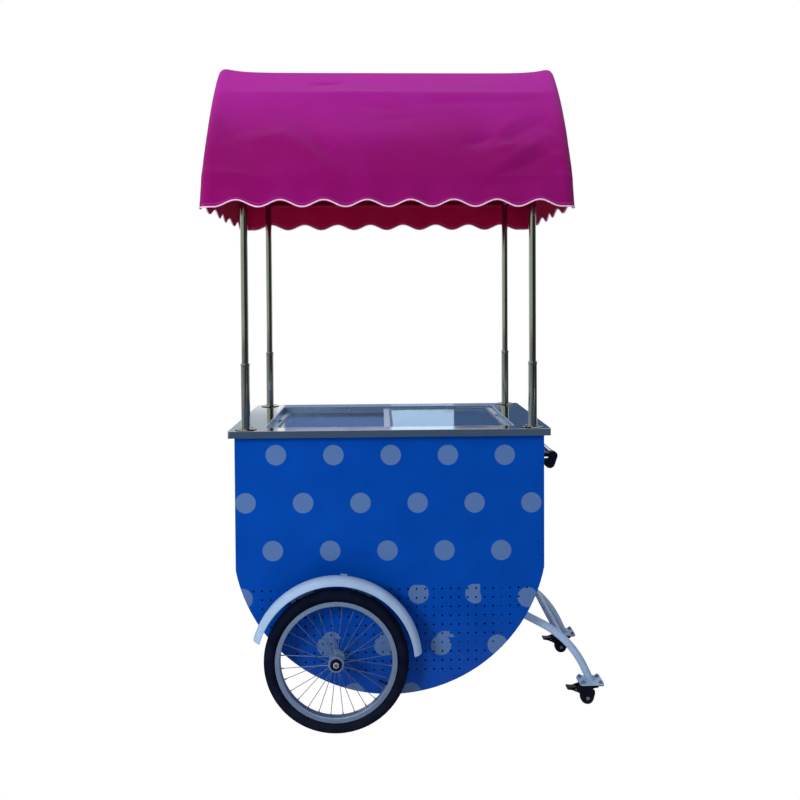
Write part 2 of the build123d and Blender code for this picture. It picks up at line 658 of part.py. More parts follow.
# Canopy frame: a bent hoop at each end, with an eave rail and a shoulder rail on each side
hoop_start, hoop_middle, hoop_meet, hoop_top = roof_points(HOOP_OFFSET)
HOOP_X = CANOPY_HALF - HOOP_OFFSET
hoop_rooms = []
for end, sign in ENDS.items():
    with BuildLine(Plane.YZ.offset(BODY_X + sign * HOOP_X)) as hoop_path:
        ThreePointArc(hoop_start, hoop_middle, hoop_meet)
        ThreePointArc(hoop_meet, hoop_top, flip(hoop_meet))
        ThreePointArc(flip(hoop_meet), flip(hoop_middle), flip(hoop_start))
    hoop_plane = Plane(hoop_path.line @ 0, z_dir=hoop_path.line % 0)
    with BuildPart() as canopy_hoop:
        with BuildSketch(hoop_plane):
            Circle(TUBE_RADIUS)
        sweep(path=hoop_path.line)
    keep(canopy_hoop, f"canopy_hoop_{end}")
    with BuildPart() as hoop_room:
        with BuildSketch(hoop_plane):
            Circle(TUBE_RADIUS + SEAT_GAP)
        sweep(path=hoop_path.line)
    hoop_rooms.append(hoop_room)

shoulder = flat(Edge.make_three_point_arc(hoop_start, hoop_middle, hoop_meet) @ SHOULDER_PLACE)
with BuildPart() as canopy_rails:
    with BuildSketch(Plane.YZ.offset(BODY_X)):
        with Locations(hoop_start, shoulder, flip(shoulder), flip(hoop_start)):
            Circle(TUBE_RADIUS)
    extrude(amount=HOOP_X, both=True)
    for hoop_room in hoop_rooms:
        add(hoop_room.part, mode=Mode.SUBTRACT)
keep(canopy_rails, "canopy_rails")

with BuildPart() as canopy_crossbars:
    with BuildSketch(Plane.XZ):
        with Locations((BODY_X, hoop_start[1])):
            with GridLocations(POLE_SPAN_X, 0, 2, 1):
                Circle(TUBE_RADIUS)
    extrude(amount=-hoop_start[0], both=True)
    add(canopy_rails.part, mode=Mode.SUBTRACT)
keep(canopy_crossbars, "canopy_crossbars")

# Poles: tubes from the sleeves' floors up to the crossbars, with saddle ends
pole_bottom = COUNTER_HEIGHT + FLANGE_THICKNESS + SEAT_GAP
with BuildPart() as canopy_poles:
    with BuildSketch(Plane.XY.offset(pole_bottom)):
        with Locations((BODY_X, 0)):
            with GridLocations(POLE_SPAN_X, POLE_SPAN_Y, 2, 2):
                Circle(POLE_DIAMETER / 2)
                Circle(POLE_DIAMETER / 2 - POLE_WALL, mode=Mode.SUBTRACT)
    extrude(amount=hoop_start[1] - pole_bottom)
    with BuildSketch(Plane.XZ):
        with Locations((BODY_X, hoop_start[1])):
            with GridLocations(POLE_SPAN_X, 0, 2, 1):
                Circle(TUBE_RADIUS)
    extrude(amount=POLE_SPAN_Y, both=True, mode=Mode.SUBTRACT)
keep(canopy_poles, "canopy_poles")

# Wheels: tyre, rim, hub and straight spokes
wheel_axis = Axis((AXLE_X, 0, AXLE_Z), (0, 1, 0))
hub_bore = AXLE_DIAMETER / 2 + RUNNING_FIT
tyre_middle = (WHEEL_RADIUS + RIM_EDGE_RADIUS + SEAT_GAP) / 2
bead_radius = RIM_SEAT_RADIUS + SEAT_GAP
channel_width = RIM_WIDTH - 2 * RIM_LIP
flange_inner = (HUB_FLANGE_SPACING - HUB_FLANGE_THICKNESS) / 2
flange_outer = (HUB_FLANGE_SPACING + HUB_FLANGE_THICKNESS) / 2
cup_start = HUB_LENGTH / 2 - HUB_CUP_LENGTH
spoke_step = 720.0 / SPOKES_PER_WHEEL
head_offset = (HUB_FLANGE_THICKNESS + SPOKE_DIAMETER) / 2 + SPOKE_HEAD_GAP


def wheel_point(radius, angle, y):
    """A point at a radius and an angle about the wheel axis."""
    return Vector(AXLE_X + radius * cos(radians(angle)), y, AXLE_Z + radius * sin(radians(angle)))


for side, sign in SIDES.items():
    wheel_plane = Plane((AXLE_X, sign * WHEEL_Y, AXLE_Z))
    with BuildPart() as tyre:
        with BuildSketch(wheel_plane):
            with Locations((tyre_middle, 0)):
                Ellipse(WHEEL_RADIUS - tyre_middle, TYRE_WIDTH / 2)
            with Locations(((bead_radius + tyre_middle) / 2, 0)):
                Rectangle(tyre_middle - bead_radius, channel_width - 2 * SEAT_GAP)
        revolve(axis=wheel_axis)
    keep(tyre, f"tyre_{side}")

    with BuildPart() as rim:
        with BuildSketch(wheel_plane) as rim_section:
            with Locations(((RIM_INNER_RADIUS + RIM_EDGE_RADIUS) / 2, 0)):
                Rectangle(RIM_EDGE_RADIUS - RIM_INNER_RADIUS, RIM_WIDTH)
            fillet(rim_section.vertices().group_by(Axis.X)[0], RIM_ROUND)
            with Locations(((RIM_SEAT_RADIUS + RIM_EDGE_RADIUS) / 2, 0)):
                Rectangle(RIM_EDGE_RADIUS - RIM_SEAT_RADIUS, channel_width, mode=Mode.SUBTRACT)
        revolve(axis=wheel_axis)
    keep(rim, f"rim_{side}")

    with BuildPart() as hub:
        with BuildSketch(wheel_plane):
            with BuildLine():
                Polyline(
                    (hub_bore, 0),
                    (HUB_BARREL_RADIUS, 0),
                    (HUB_BARREL_RADIUS, flange_inner),
                    (HUB_FLANGE_RADIUS, flange_inner),
                    (HUB_FLANGE_RADIUS, flange_outer),
                    (HUB_BARREL_RADIUS, flange_outer),
                    (HUB_BARREL_RADIUS, cup_start),
                    (HUB_CUP_RADIUS, cup_start),
                    (HUB_CUP_RADIUS, HUB_LENGTH / 2),
                    (hub_bore, HUB_LENGTH / 2),
                    close=True,
                )
            make_face()
            mirror(about=Plane.XZ)
        revolve(axis=wheel_axis)
    keep(hub, f"hub_{side}")

    with BuildPart() as spokes:
        for lean in (-1, 1):
            for flange in (-1, 1):
                head_y = sign * WHEEL_Y + flange * HUB_FLANGE_SPACING / 2 + lean * head_offset
                tip_y = sign * WHEEL_Y + flange * SPOKE_RIM_OFFSET
                spoke_planes = []
                for spoke in range(SPOKES_PER_WHEEL // 4):
                    angle = spoke_step * (2 * spoke + lean / 2 + flange / 4)
                    head = wheel_point(SPOKE_HOLE_RADIUS, angle, head_y)
                    tip = wheel_point(RIM_INNER_RADIUS - SPOKE_TIP_GAP, angle, tip_y)
                    spoke_planes.append(Plane(head, z_dir=tip - head))
                with BuildSketch(*spoke_planes):
                    RegularPolygon(SPOKE_DIAMETER / 2, SPOKE_SIDES)
                extrude(amount=(tip - head).length)
    keep(spokes, f"spokes_{side}")

# Axle with a shoulder inside each wheel, its caps, its nuts and the saddles that hold it
shoulder_y = WHEEL_Y - HUB_LENGTH / 2 - SEAT_GAP
cap_y = WHEEL_Y + HUB_LENGTH / 2 + SEAT_GAP
nut_y = cap_y + AXLE_CAP_FLOOR
axle_end_y = nut_y + AXLE_NUT_LENGTH + AXLE_END
with BuildPart() as axle:
    with BuildSketch(Plane((AXLE_X, 0, AXLE_Z))):
        with BuildLine():
            Polyline(
                (0, 0),
                (AXLE_SHOULDER_DIAMETER / 2, 0),
                (AXLE_SHOULDER_DIAMETER / 2, shoulder_y),
                (AXLE_DIAMETER / 2, shoulder_y),
                (AXLE_DIAMETER / 2, axle_end_y),
                (0, axle_end_y),
                close=True,
            )
        make_face()
        mirror(about=Plane.XZ)
    revolve(axis=wheel_axis)
keep(axle, "axle")


def axle_planes(y):
    """Planes square to the axle at this distance from the middle, facing out on both sides."""
    return [Plane((AXLE_X, sign * y, AXLE_Z), z_dir=(0, sign, 0)) for sign in SIDES.values()]


with BuildPart() as axle_caps:
    with BuildSketch(*axle_planes(cap_y)):
        Circle(AXLE_CAP_RADIUS)
        Circle(hub_bore, mode=Mode.SUBTRACT)
    extrude(amount=AXLE_CAP_LENGTH)
    with BuildSketch(*axle_planes(nut_y)):
        Circle(AXLE_NUT_WIDTH / sqrt(3) + AXLE_NUT_GAP)
    extrude(amount=AXLE_CAP_LENGTH, mode=Mode.SUBTRACT)
keep(axle_caps, "axle_caps")

with BuildPart() as axle_nuts:
    with BuildSketch(*axle_planes(nut_y)):
        RegularPolygon(AXLE_NUT_WIDTH / 2, 6, major_radius=False)
        Circle(hub_bore, mode=Mode.SUBTRACT)
    extrude(amount=AXLE_NUT_LENGTH)
keep(axle_nuts, "axle_nuts")

saddle_y = FRAME_HALF_WIDTH - FRAME_TUBE / 2
with BuildPart() as axle_saddles:
    with BuildSketch(Plane.XZ.offset(saddle_y), Plane.XZ.offset(-saddle_y)):
        with Locations((AXLE_X, AXLE_Z)):
            Circle(AXLE_SHOULDER_DIAMETER / 2 + SADDLE_WALL)
        with Locations((AXLE_X, LOWER_FRAME_BOTTOM - SADDLE_WALL / 2)):
            Rectangle(SADDLE_LENGTH, SADDLE_WALL)
        make_hull()
        with Locations((AXLE_X, AXLE_Z)):
            Circle(AXLE_SHOULDER_DIAMETER / 2 + RUNNING_FIT, mode=Mode.SUBTRACT)
    extrude(amount=SADDLE_WIDTH / 2, both=True)
keep(axle_saddles, "axle_saddles")

# Mudguards: a crowned strip rolled over each wheel, on three angle brackets
lip_radius = WHEEL_RADIUS + MUDGUARD_GAP
crown_radius = lip_radius + MUDGUARD_CROWN


def wheel_section(angle, y):
    """A plane through the wheel axis: local x points out along this angle and local y along +Y."""
    out = (cos(radians(angle)), 0, sin(radians(angle)))
    forward = (-sin(radians(angle)), 0, cos(radians(angle)))
    return Plane((AXLE_X, y, AXLE_Z), x_dir=out, z_dir=forward)


for side, sign in SIDES.items():
    with BuildPart() as mudguard:
        with BuildSketch(wheel_section(MUDGUARD_FRONT_ANGLE, sign * WHEEL_Y)):
            with BuildLine():
                outer = ThreePointArc(
                    (lip_radius, -MUDGUARD_WIDTH / 2),
                    (crown_radius, 0),
                    (lip_radius, MUDGUARD_WIDTH / 2),
                )
                inner = ThreePointArc(
                    (lip_radius, MUDGUARD_WIDTH / 2 - MUDGUARD_SHEET),
                    (crown_radius - MUDGUARD_SHEET, 0),
                    (lip_radius, MUDGUARD_SHEET - MUDGUARD_WIDTH / 2),
                )
                Line(outer @ 1, inner @ 0)
                Line(inner @ 1, outer @ 0)
            make_face()
        revolve(
            axis=Axis((AXLE_X, 0, AXLE_Z), (0, -1, 0)),
            revolution_arc=MUDGUARD_REAR_ANGLE - MUDGUARD_FRONT_ANGLE,
        )
    keep(mudguard, f"mudguard_{side}")

crown_arc = (MUDGUARD_CROWN**2 + (MUDGUARD_WIDTH / 2) ** 2) / (2 * MUDGUARD_CROWN)
arm_radius = lip_radius + 2 * BRACKET_THICKNESS
arm_rise = arm_radius - BRACKET_THICKNESS - (crown_radius - crown_arc)
arm_end = WHEEL_Y - sqrt(crown_arc**2 - arm_rise**2) - SEAT_GAP
with BuildPart() as mudguard_brackets:
    for sign in SIDES.values():
        panel_y = sign * BODY_WIDTH / 2
        with BuildSketch(*[wheel_section(angle, 0) for angle in BRACKET_ANGLES]):
            with BuildLine():
                Polyline(
                    (arm_radius, panel_y),
                    (arm_radius - BRACKET_FOOT, panel_y),
                    (arm_radius - BRACKET_FOOT, panel_y + sign * BRACKET_THICKNESS),
                    (arm_radius - BRACKET_THICKNESS, panel_y + sign * BRACKET_THICKNESS),
                    (arm_radius - BRACKET_THICKNESS, sign * arm_end),
                    (arm_radius, sign * arm_end),
                    close=True,
                )
            make_face()
        extrude(amount=BRACKET_WIDTH / 2, both=True)
keep(mudguard_brackets, "mudguard_brackets")

# Legs: bent tubes from the belly down to the caster plates, with a cross tube between them
foot = Vector(CASTER_X, LEG_PLATE_TOP)
foot_way = Vector(cos(radians(LEG_FOOT_ANGLE)), -sin(radians(LEG_FOOT_ANGLE)))
top_way = Vector(cos(radians(LEG_TOP_ANGLE)), -sin(radians(LEG_TOP_ANGLE)))
corner = foot - foot_way * (LEG_BEND_OFFSET / foot_way.X)
legs = []
for side, sign in SIDES.items():
    with BuildPart() as leg:
        with BuildLine(Plane.XZ.offset(-sign * CASTER_Y)) as leg_path:
            FilletPolyline(
                flat(corner - top_way * LEG_TOP_LENGTH),
                flat(corner),
                flat(foot + foot_way * LEG_DIAMETER),
                radius=LEG_BEND_RADIUS,
            )
        with BuildSketch(Plane(leg_path.line @ 0, z_dir=leg_path.line % 0)):
            Circle(LEG_DIAMETER / 2)
        sweep(path=leg_path.line)
        split(bisect_by=Plane.XY.offset(LEG_PLATE_TOP), keep=Keep.TOP)
        with BuildSketch(Plane.XZ):
            with Locations((BODY_X, BELLY_CENTRE_Z)):
                Circle(BELLY_RADIUS)
        extrude(amount=BODY_WIDTH / 2, both=True, mode=Mode.SUBTRACT)
        with BuildSketch(Plane.XY.offset(CASTER_HEIGHT)):
            with Locations((CASTER_X, sign * CASTER_Y)):
                RectangleRounded(CASTER_PLATE_LENGTH, CASTER_PLATE_WIDTH, CASTER_PLATE_ROUND)
                with GridLocations(BOLT_SPAN_X, BOLT_SPAN_Y, 2, 2):
                    Circle(BOLT_HOLE / 2, mode=Mode.SUBTRACT)
        extrude(amount=LEG_PLATE)
    legs.append(leg)
    keep(leg, f"leg_{side}")

cross_place = leg_path.line @ CROSS_TUBE_PLACE
with BuildPart() as leg_cross_tube:
    with BuildSketch(Plane.XZ):
        with Locations((cross_place.X, cross_place.Z)):
            Circle(CROSS_TUBE_DIAMETER / 2)
    extrude(amount=CASTER_Y, both=True)
    for leg in legs:
        add(leg.part, mode=Mode.SUBTRACT)
keep(leg_cross_tube, "leg_cross_tube")

# Caster bolts: four to each caster, heads below the caster plate and nuts on the leg plate
with BuildPart() as caster_bolts:
    plate_bottom = CASTER_HEIGHT - CASTER_PLATE
    hexagons = ((plate_bottom, -BOLT_HEAD), (LEG_PLATE_TOP, BOLT_NUT))
    for bottom, height in hexagons:
        with BuildSketch(Plane.XY.offset(bottom)):
            with Locations((CASTER_X, CASTER_Y), (CASTER_X, -CASTER_Y)):
                with GridLocations(BOLT_SPAN_X, BOLT_SPAN_Y, 2, 2):
                    RegularPolygon(BOLT_NUT_WIDTH / 2, 6, major_radius=False)
        extrude(amount=height)
    with BuildSketch(Plane.XY.offset(plate_bottom)):
        with Locations((CASTER_X, CASTER_Y), (CASTER_X, -CASTER_Y)):
            with GridLocations(BOLT_SPAN_X, BOLT_SPAN_Y, 2, 2):
                Circle(BOLT_DIAMETER / 2)
    extrude(amount=LEG_PLATE_TOP + BOLT_NUT + BOLT_END - plate_bottom)
keep(caster_bolts, "caster_bolts")

# Casters: fixed head, swivelling fork, wheel and brake pedal
fork_top = RACEWAY_BOTTOM - SEAT_GAP
fork_inner = FORK_HALF_WIDTH - FORK_SHEET
pedal_x = CASTER_WHEEL_X - PEDAL_PIVOT_BACK
pedal_z = fork_top - PEDAL_PIVOT_DROP
caster_centre = Vector(CASTER_WHEEL_X, CASTER_WHEEL_Z)
pedal_pivot = Vector(pedal_x, pedal_z)
shoe_radius = PEDAL_THICKNESS
shoe_way = (pedal_pivot - caster_centre).normalized()
shoe_centre = caster_centre + shoe_way * (CASTER_WHEEL_DIAMETER / 2 + SEAT_GAP + shoe_radius)
pedal_way = Vector(-cos(radians(PEDAL_SLOPE)), sin(radians(PEDAL_SLOPE)))


def in_fork_neck(corner):
    """Whether a corner of the fork's side is where its crown meets the upright below."""
    on_side = abs(abs(corner.X - CASTER_WHEEL_X) - FORK_WIDTH / 2) < SEAT_GAP
    return on_side and FORK_SHOULDER_HEIGHT + SEAT_GAP < corner.Y < fork_top - SEAT_GAP


for side, sign in SIDES.items():
    caster_plane = Plane.XZ.offset(-sign * CASTER_Y)
    with BuildPart() as caster_head:
        with BuildSketch(Plane.XY.offset(CASTER_HEIGHT)):
            with Locations((CASTER_X, sign * CASTER_Y)):
                RectangleRounded(CASTER_PLATE_LENGTH, CASTER_PLATE_WIDTH, CASTER_PLATE_ROUND)
                with GridLocations(BOLT_SPAN_X, BOLT_SPAN_Y, 2, 2):
                    Circle(BOLT_HOLE / 2, mode=Mode.SUBTRACT)
        extrude(amount=-CASTER_PLATE)
        with BuildSketch(Plane.XY.offset(RACEWAY_BOTTOM)):
            with Locations((CASTER_X, sign * CASTER_Y)):
                Circle(RACEWAY_DIAMETER / 2)
        extrude(amount=RACEWAY_HEIGHT)
        with BuildSketch(Plane.XY.offset(RACEWAY_BOTTOM)):
            with Locations((CASTER_X, sign * CASTER_Y)):
                Circle(KINGPIN_DIAMETER / 2 + RUNNING_FIT)
        extrude(amount=RACEWAY_HEIGHT + CASTER_PLATE, mode=Mode.SUBTRACT)
    keep(caster_head, f"caster_head_{side}")

    with BuildPart() as caster_fork:
        with BuildSketch(caster_plane) as crown:
            with Locations(pedal_pivot):
                Circle(PEDAL_EAR_RADIUS)
            with Locations(
                (CASTER_WHEEL_X + FORK_NOSE_REACH, fork_top - FORK_NOSE_RADIUS),
                (CASTER_WHEEL_X - FORK_WIDTH / 2 + FORK_NOSE_RADIUS, fork_top - FORK_NOSE_RADIUS),
            ):
                Circle(FORK_NOSE_RADIUS)
            make_hull()
        with BuildSketch(caster_plane) as fork_side:
            with Locations(caster_centre):
                Circle(FORK_ROUND)
            with Locations((CASTER_WHEEL_X, (FORK_SHOULDER_HEIGHT + pedal_z) / 2)):
                Rectangle(FORK_WIDTH, pedal_z - FORK_SHOULDER_HEIGHT)
            make_hull()
            add(crown.sketch_local)
            necks = fork_side.vertices().filter_by(in_fork_neck)
            fillet(necks, FORK_NECK_RADIUS)
        extrude(to_extrude=fork_side.sketch, amount=FORK_HALF_WIDTH, both=True)
        with BuildSketch(caster_plane):
            with Locations((CASTER_X, (fork_top - FORK_TOP) / 2)):
                Rectangle(2 * CASTER_PLATE_LENGTH, fork_top - FORK_TOP)
            with Locations((CASTER_X - RACEWAY_DIAMETER / 2 - CASTER_PLATE_LENGTH, CASTER_WHEEL_Z)):
                Rectangle(2 * CASTER_PLATE_LENGTH, 2 * fork_top)
        extrude(amount=fork_inner, both=True, mode=Mode.SUBTRACT)
        with BuildSketch(caster_plane):
            with Locations(caster_centre):
                Circle(RIVET_DIAMETER / 2)
            with Locations(pedal_pivot):
                Circle(PEDAL_PIN_DIAMETER / 2)
        extrude(amount=FORK_HALF_WIDTH, both=True)
        for face_sign in SIDES.values():
            with BuildSketch(Plane.XZ.offset(-sign * CASTER_Y - face_sign * FORK_HALF_WIDTH)):
                with Locations(caster_centre):
                    Circle(RIVET_HEAD_DIAMETER / 2)
            extrude(amount=-face_sign * RIVET_HEAD)
        with BuildSketch(Plane.XY.offset(fork_top - FORK_TOP)):
            with Locations((CASTER_X, sign * CASTER_Y)):
                Circle(KINGPIN_DIAMETER / 2)
        extrude(amount=CASTER_HEIGHT - SEAT_GAP - fork_top + FORK_TOP)
    keep(caster_fork, f"caster_fork_{side}")

    with BuildPart() as caster_wheel:
        with BuildSketch(caster_plane):
            with Locations(caster_centre):
                Circle(CASTER_WHEEL_DIAMETER / 2)
        extrude(amount=CASTER_WHEEL_WIDTH / 2, both=True)
        fillet(caster_wheel.edges(), CASTER_TREAD_ROUND)
        with BuildSketch(caster_plane):
            with Locations(caster_centre):
                Circle(RIVET_DIAMETER / 2 + RUNNING_FIT)
        extrude(amount=CASTER_WHEEL_WIDTH / 2, both=True, mode=Mode.SUBTRACT)
    keep(caster_wheel, f"caster_wheel_{side}")

    with BuildPart() as brake_pedal:
        with BuildSketch(caster_plane):
            with Locations(pedal_pivot):
                Circle(PEDAL_EAR_RADIUS - SEAT_GAP)
            with Locations(pedal_pivot + pedal_way * PEDAL_LENGTH):
                Circle(PEDAL_THICKNESS / 2)
            make_hull()
        extrude(amount=fork_inner - PEDAL_SIDE_GAP, both=True)
        with BuildSketch(caster_plane):
            with Locations(pedal_pivot):
                Circle(PEDAL_EAR_RADIUS - SEAT_GAP)
            with Locations(shoe_centre):
                Circle(shoe_radius)
            make_hull()
        extrude(amount=CASTER_WHEEL_WIDTH / 2, both=True)
        with BuildSketch(caster_plane):
            with Locations(pedal_pivot + pedal_way * (PEDAL_LENGTH - PEDAL_TOE_LENGTH / 2)):
                Rectangle(PEDAL_TOE_LENGTH, PEDAL_THICKNESS, rotation=-PEDAL_SLOPE)
        extrude(amount=PEDAL_TOE_WIDTH / 2, both=True)
        with BuildSketch(caster_plane):
            with Locations(pedal_pivot):
                Circle(PEDAL_PIN_DIAMETER / 2 + RUNNING_FIT)
        extrude(amount=FORK_HALF_WIDTH, both=True, mode=Mode.SUBTRACT)
    keep(brake_pedal, f"brake_pedal_{side}")

# Push handle: a tube held in two moulded brackets on the right end panel
panel_x = BODY_X + BODY_HALF
with BuildPart() as handle_tube:
    with BuildSketch(Plane.XZ):
        with Locations((HANDLE_X, HANDLE_HEIGHT)):
            Circle(HANDLE_DIAMETER / 2)
    extrude(amount=HANDLE_LENGTH / 2, both=True)
keep(handle_tube, "handle_tube")

for side, sign in SIDES.items():
    bracket_y = HANDLE_LENGTH / 2 - HANDLE_SOCKET_DEPTH
    bracket_plane = Plane.XZ.offset(-sign * bracket_y)
    lobe_x = HANDLE_X - HANDLE_LOBE_BACK
    slot_z = HANDLE_HEIGHT - sum(HANDLE_ARM_DROPS) / 2
    with BuildPart() as handle_bracket:
        with BuildSketch(bracket_plane):
            with Locations((HANDLE_X, HANDLE_HEIGHT)):
                Circle(HANDLE_BOSS_RADIUS)
            with Locations((lobe_x, HANDLE_HEIGHT - HANDLE_LOBE_DROP)):
                Circle(HANDLE_LOBE_RADIUS)
            make_hull()
        extrude(amount=-sign * HANDLE_BRACKET_WIDTH)
        for drop in HANDLE_ARM_DROPS:
            with BuildSketch(bracket_plane):
                with Locations(((panel_x + lobe_x) / 2, HANDLE_HEIGHT - drop)):
                    Rectangle(lobe_x - panel_x, HANDLE_ARM_HEIGHT)
            extrude(amount=-sign * HANDLE_BRACKET_WIDTH)
        with BuildSketch(bracket_plane):
            with Locations((panel_x + HANDLE_FOOT + HANDLE_SLOT_LENGTH / 2, slot_z)):
                SlotOverall(HANDLE_SLOT_LENGTH, HANDLE_ARM_DROPS[1] - HANDLE_ARM_DROPS[0] - HANDLE_ARM_HEIGHT)
        extrude(amount=-sign * HANDLE_BRACKET_WIDTH, mode=Mode.SUBTRACT)
        with BuildSketch(bracket_plane):
            with Locations((panel_x + HANDLE_FOOT / 2, slot_z)):
                Rectangle(HANDLE_FOOT, HANDLE_FOOT_HEIGHT)
        extrude(amount=-sign * HANDLE_BRACKET_WIDTH)
        with BuildSketch(bracket_plane):
            with Locations((HANDLE_X, HANDLE_HEIGHT)):
                Circle(HANDLE_DIAMETER / 2 + SEAT_GAP)
        extrude(amount=-sign * (HANDLE_SOCKET_DEPTH + SEAT_GAP), mode=Mode.SUBTRACT)
    keep(handle_bracket, f"handle_bracket_{side}")

# Cooling unit: a tray on the lower frame with the compressor, condenser and fan on it
with BuildPart() as base_tray:
    with BuildSketch(Plane.XY.offset(LOWER_FRAME_TOP)):
        with Locations((BODY_X, 0)):
            Rectangle(
                2 * (LOWER_FRAME_HALF - FRAME_TUBE - FRAME_CLEARANCE),
                2 * (FRAME_HALF_WIDTH - FRAME_TUBE / 2),
            )
    extrude(amount=TRAY_LIP)
    offset(amount=-SHEET, openings=base_tray.faces().sort_by(Axis.Z)[-1])
keep(base_tray, "base_tray")

can_bottom = TRAY_TOP + COMPRESSOR_FOOT_HEIGHT
can_x = BODY_X + COMPRESSOR_OFFSET
with BuildPart() as compressor:
    with BuildSketch(Plane.XY.offset(can_bottom)):
        with Locations((can_x, 0)):
            Circle(COMPRESSOR_RADIUS)
    extrude(amount=COMPRESSOR_HEIGHT)
    fillet(compressor.edges().sort_by(Axis.Z)[-1], COMPRESSOR_DOME)
    with BuildSketch(Plane.XY.offset(TRAY_TOP)):
        with Locations((can_x, 0)):
            with PolarLocations(COMPRESSOR_RADIUS - 2 * COMPRESSOR_FOOT_RADIUS, 4, start_angle=45):
                Circle(COMPRESSOR_FOOT_RADIUS)
    extrude(amount=COMPRESSOR_FOOT_HEIGHT)
keep(compressor, "compressor")

condenser_x = BODY_X + CONDENSER_OFFSET
with BuildPart() as condenser:
    with BuildSketch(Plane.XY.offset(TRAY_TOP)):
        with Locations((condenser_x, 0)):
            Rectangle(CONDENSER_CORE, CONDENSER_WIDTH)
            fin_pitch = (CONDENSER_WIDTH - CONDENSER_FIN) / (CONDENSER_FINS - 1)
            with GridLocations(0, fin_pitch, 1, CONDENSER_FINS):
                Rectangle(CONDENSER_DEPTH, CONDENSER_FIN)
    extrude(amount=CONDENSER_HEIGHT)
keep(condenser, "condenser")

shroud_x = condenser_x - CONDENSER_DEPTH / 2
fan_z = TRAY_TOP + CONDENSER_HEIGHT / 2
duct_radius = CONDENSER_HEIGHT / 2 - FAN_DUCT_MARGIN
duct_end = shroud_x - SHROUD_DEPTH
motor_end = duct_end - FAN_MOTOR_LENGTH
with BuildPart() as fan_shroud:
    with BuildSketch(Plane.YZ.offset(shroud_x)):
        with Locations((0, fan_z)):
            Rectangle(CONDENSER_WIDTH, CONDENSER_HEIGHT)
            Circle(duct_radius, mode=Mode.SUBTRACT)
    extrude(amount=-SHROUD_SHEET)
    with BuildSketch(Plane.YZ.offset(shroud_x)):
        with Locations((0, fan_z)):
            Circle(duct_radius + SHROUD_SHEET)
            Circle(duct_radius, mode=Mode.SUBTRACT)
    extrude(amount=-SHROUD_DEPTH)
    with BuildSketch(Plane.YZ.offset(duct_end)):
        with Locations((0, fan_z)):
            Rectangle(2 * duct_radius + SHROUD_SHEET, FAN_ARM)
            Rectangle(FAN_ARM, 2 * duct_radius + SHROUD_SHEET)
            Circle(FAN_MOTOR_RADIUS)
    extrude(amount=SHROUD_SHEET)
    with BuildSketch(Plane.YZ.offset(duct_end)):
        with Locations((0, fan_z)):
            Circle(FAN_MOTOR_RADIUS)
    extrude(amount=-FAN_MOTOR_LENGTH)
    with BuildSketch(Plane.YZ.offset(duct_end + SHROUD_SHEET)):
        with Locations((0, fan_z)):
            Circle(FAN_SHAFT_DIAMETER / 2 + RUNNING_FIT)
    extrude(amount=-FAN_SHAFT_LENGTH - SHROUD_SHEET, mode=Mode.SUBTRACT)
keep(fan_shroud, "fan_shroud")

fan_back = duct_end + SHROUD_SHEET + FAN_BACK_GAP
with BuildPart() as fan_blades:
    with BuildSketch(Plane.YZ.offset(fan_back)):
        with Locations((0, fan_z)):
            Circle(FAN_HUB_RADIUS)
    extrude(amount=FAN_HUB_LENGTH)
    with BuildSketch(Plane.YZ.offset(fan_back)):
        with Locations((0, fan_z)):
            Circle(FAN_SHAFT_DIAMETER / 2)
    extrude(amount=-FAN_BACK_GAP - FAN_SHAFT_LENGTH)
    blade_planes = []
    for blade in range(FAN_BLADES):
        turn = radians(360.0 * blade / FAN_BLADES)
        root = FAN_HUB_RADIUS / 2
        blade_planes.append(
            Plane(
                (fan_back + FAN_HUB_LENGTH / 2, root * cos(turn), fan_z + root * sin(turn)),
                x_dir=(1, 0, 0),
                z_dir=(0, cos(turn), sin(turn)),
            )
        )
    with BuildSketch(*blade_planes):
        Rectangle(FAN_BLADE_SHEET, FAN_BLADE_CHORD, rotation=FAN_BLADE_PITCH)
    extrude(amount=duct_radius - FAN_TIP_GAP - FAN_HUB_RADIUS / 2)
keep(fan_blades, "fan_blades")
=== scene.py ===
import json
import math

import bpy
from mathutils import Matrix, Vector


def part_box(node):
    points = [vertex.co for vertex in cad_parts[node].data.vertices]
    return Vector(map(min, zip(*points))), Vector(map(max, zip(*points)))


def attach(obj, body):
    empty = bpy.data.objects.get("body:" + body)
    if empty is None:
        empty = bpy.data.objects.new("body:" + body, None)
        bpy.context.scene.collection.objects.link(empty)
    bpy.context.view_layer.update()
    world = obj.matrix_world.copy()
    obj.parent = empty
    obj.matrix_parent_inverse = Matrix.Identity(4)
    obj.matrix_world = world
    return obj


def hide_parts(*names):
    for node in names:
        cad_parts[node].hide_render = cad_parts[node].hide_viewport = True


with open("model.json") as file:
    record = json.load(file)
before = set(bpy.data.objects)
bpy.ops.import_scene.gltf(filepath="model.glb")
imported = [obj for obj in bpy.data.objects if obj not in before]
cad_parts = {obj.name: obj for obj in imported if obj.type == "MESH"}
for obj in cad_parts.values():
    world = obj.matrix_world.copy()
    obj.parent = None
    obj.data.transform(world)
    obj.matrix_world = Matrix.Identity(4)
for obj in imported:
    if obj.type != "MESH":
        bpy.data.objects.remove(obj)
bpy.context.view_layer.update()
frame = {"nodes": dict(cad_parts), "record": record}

NODES = frame["nodes"]
RECORD = frame["record"]
SLOT_OF_NODE = {part["node"]: part["material_slot"] for part in RECORD["subparts"]}
BODY_OF_NODE = {
    node: body for body, members in RECORD["behaviour"]["bodies"].items() for node in members
}
SIDES = {"near": -1, "far": 1}
ENDS = {"left": -1, "right": 1}

# Where the photograph was taken from, in metres and radians
CAMERA_PLACE = Vector((-0.1063, -2.9529, 1.4900))
CAMERA_YAW = 0.0266
CAMERA_PITCH = -0.0226
CAMERA_ROLL = -0.0056

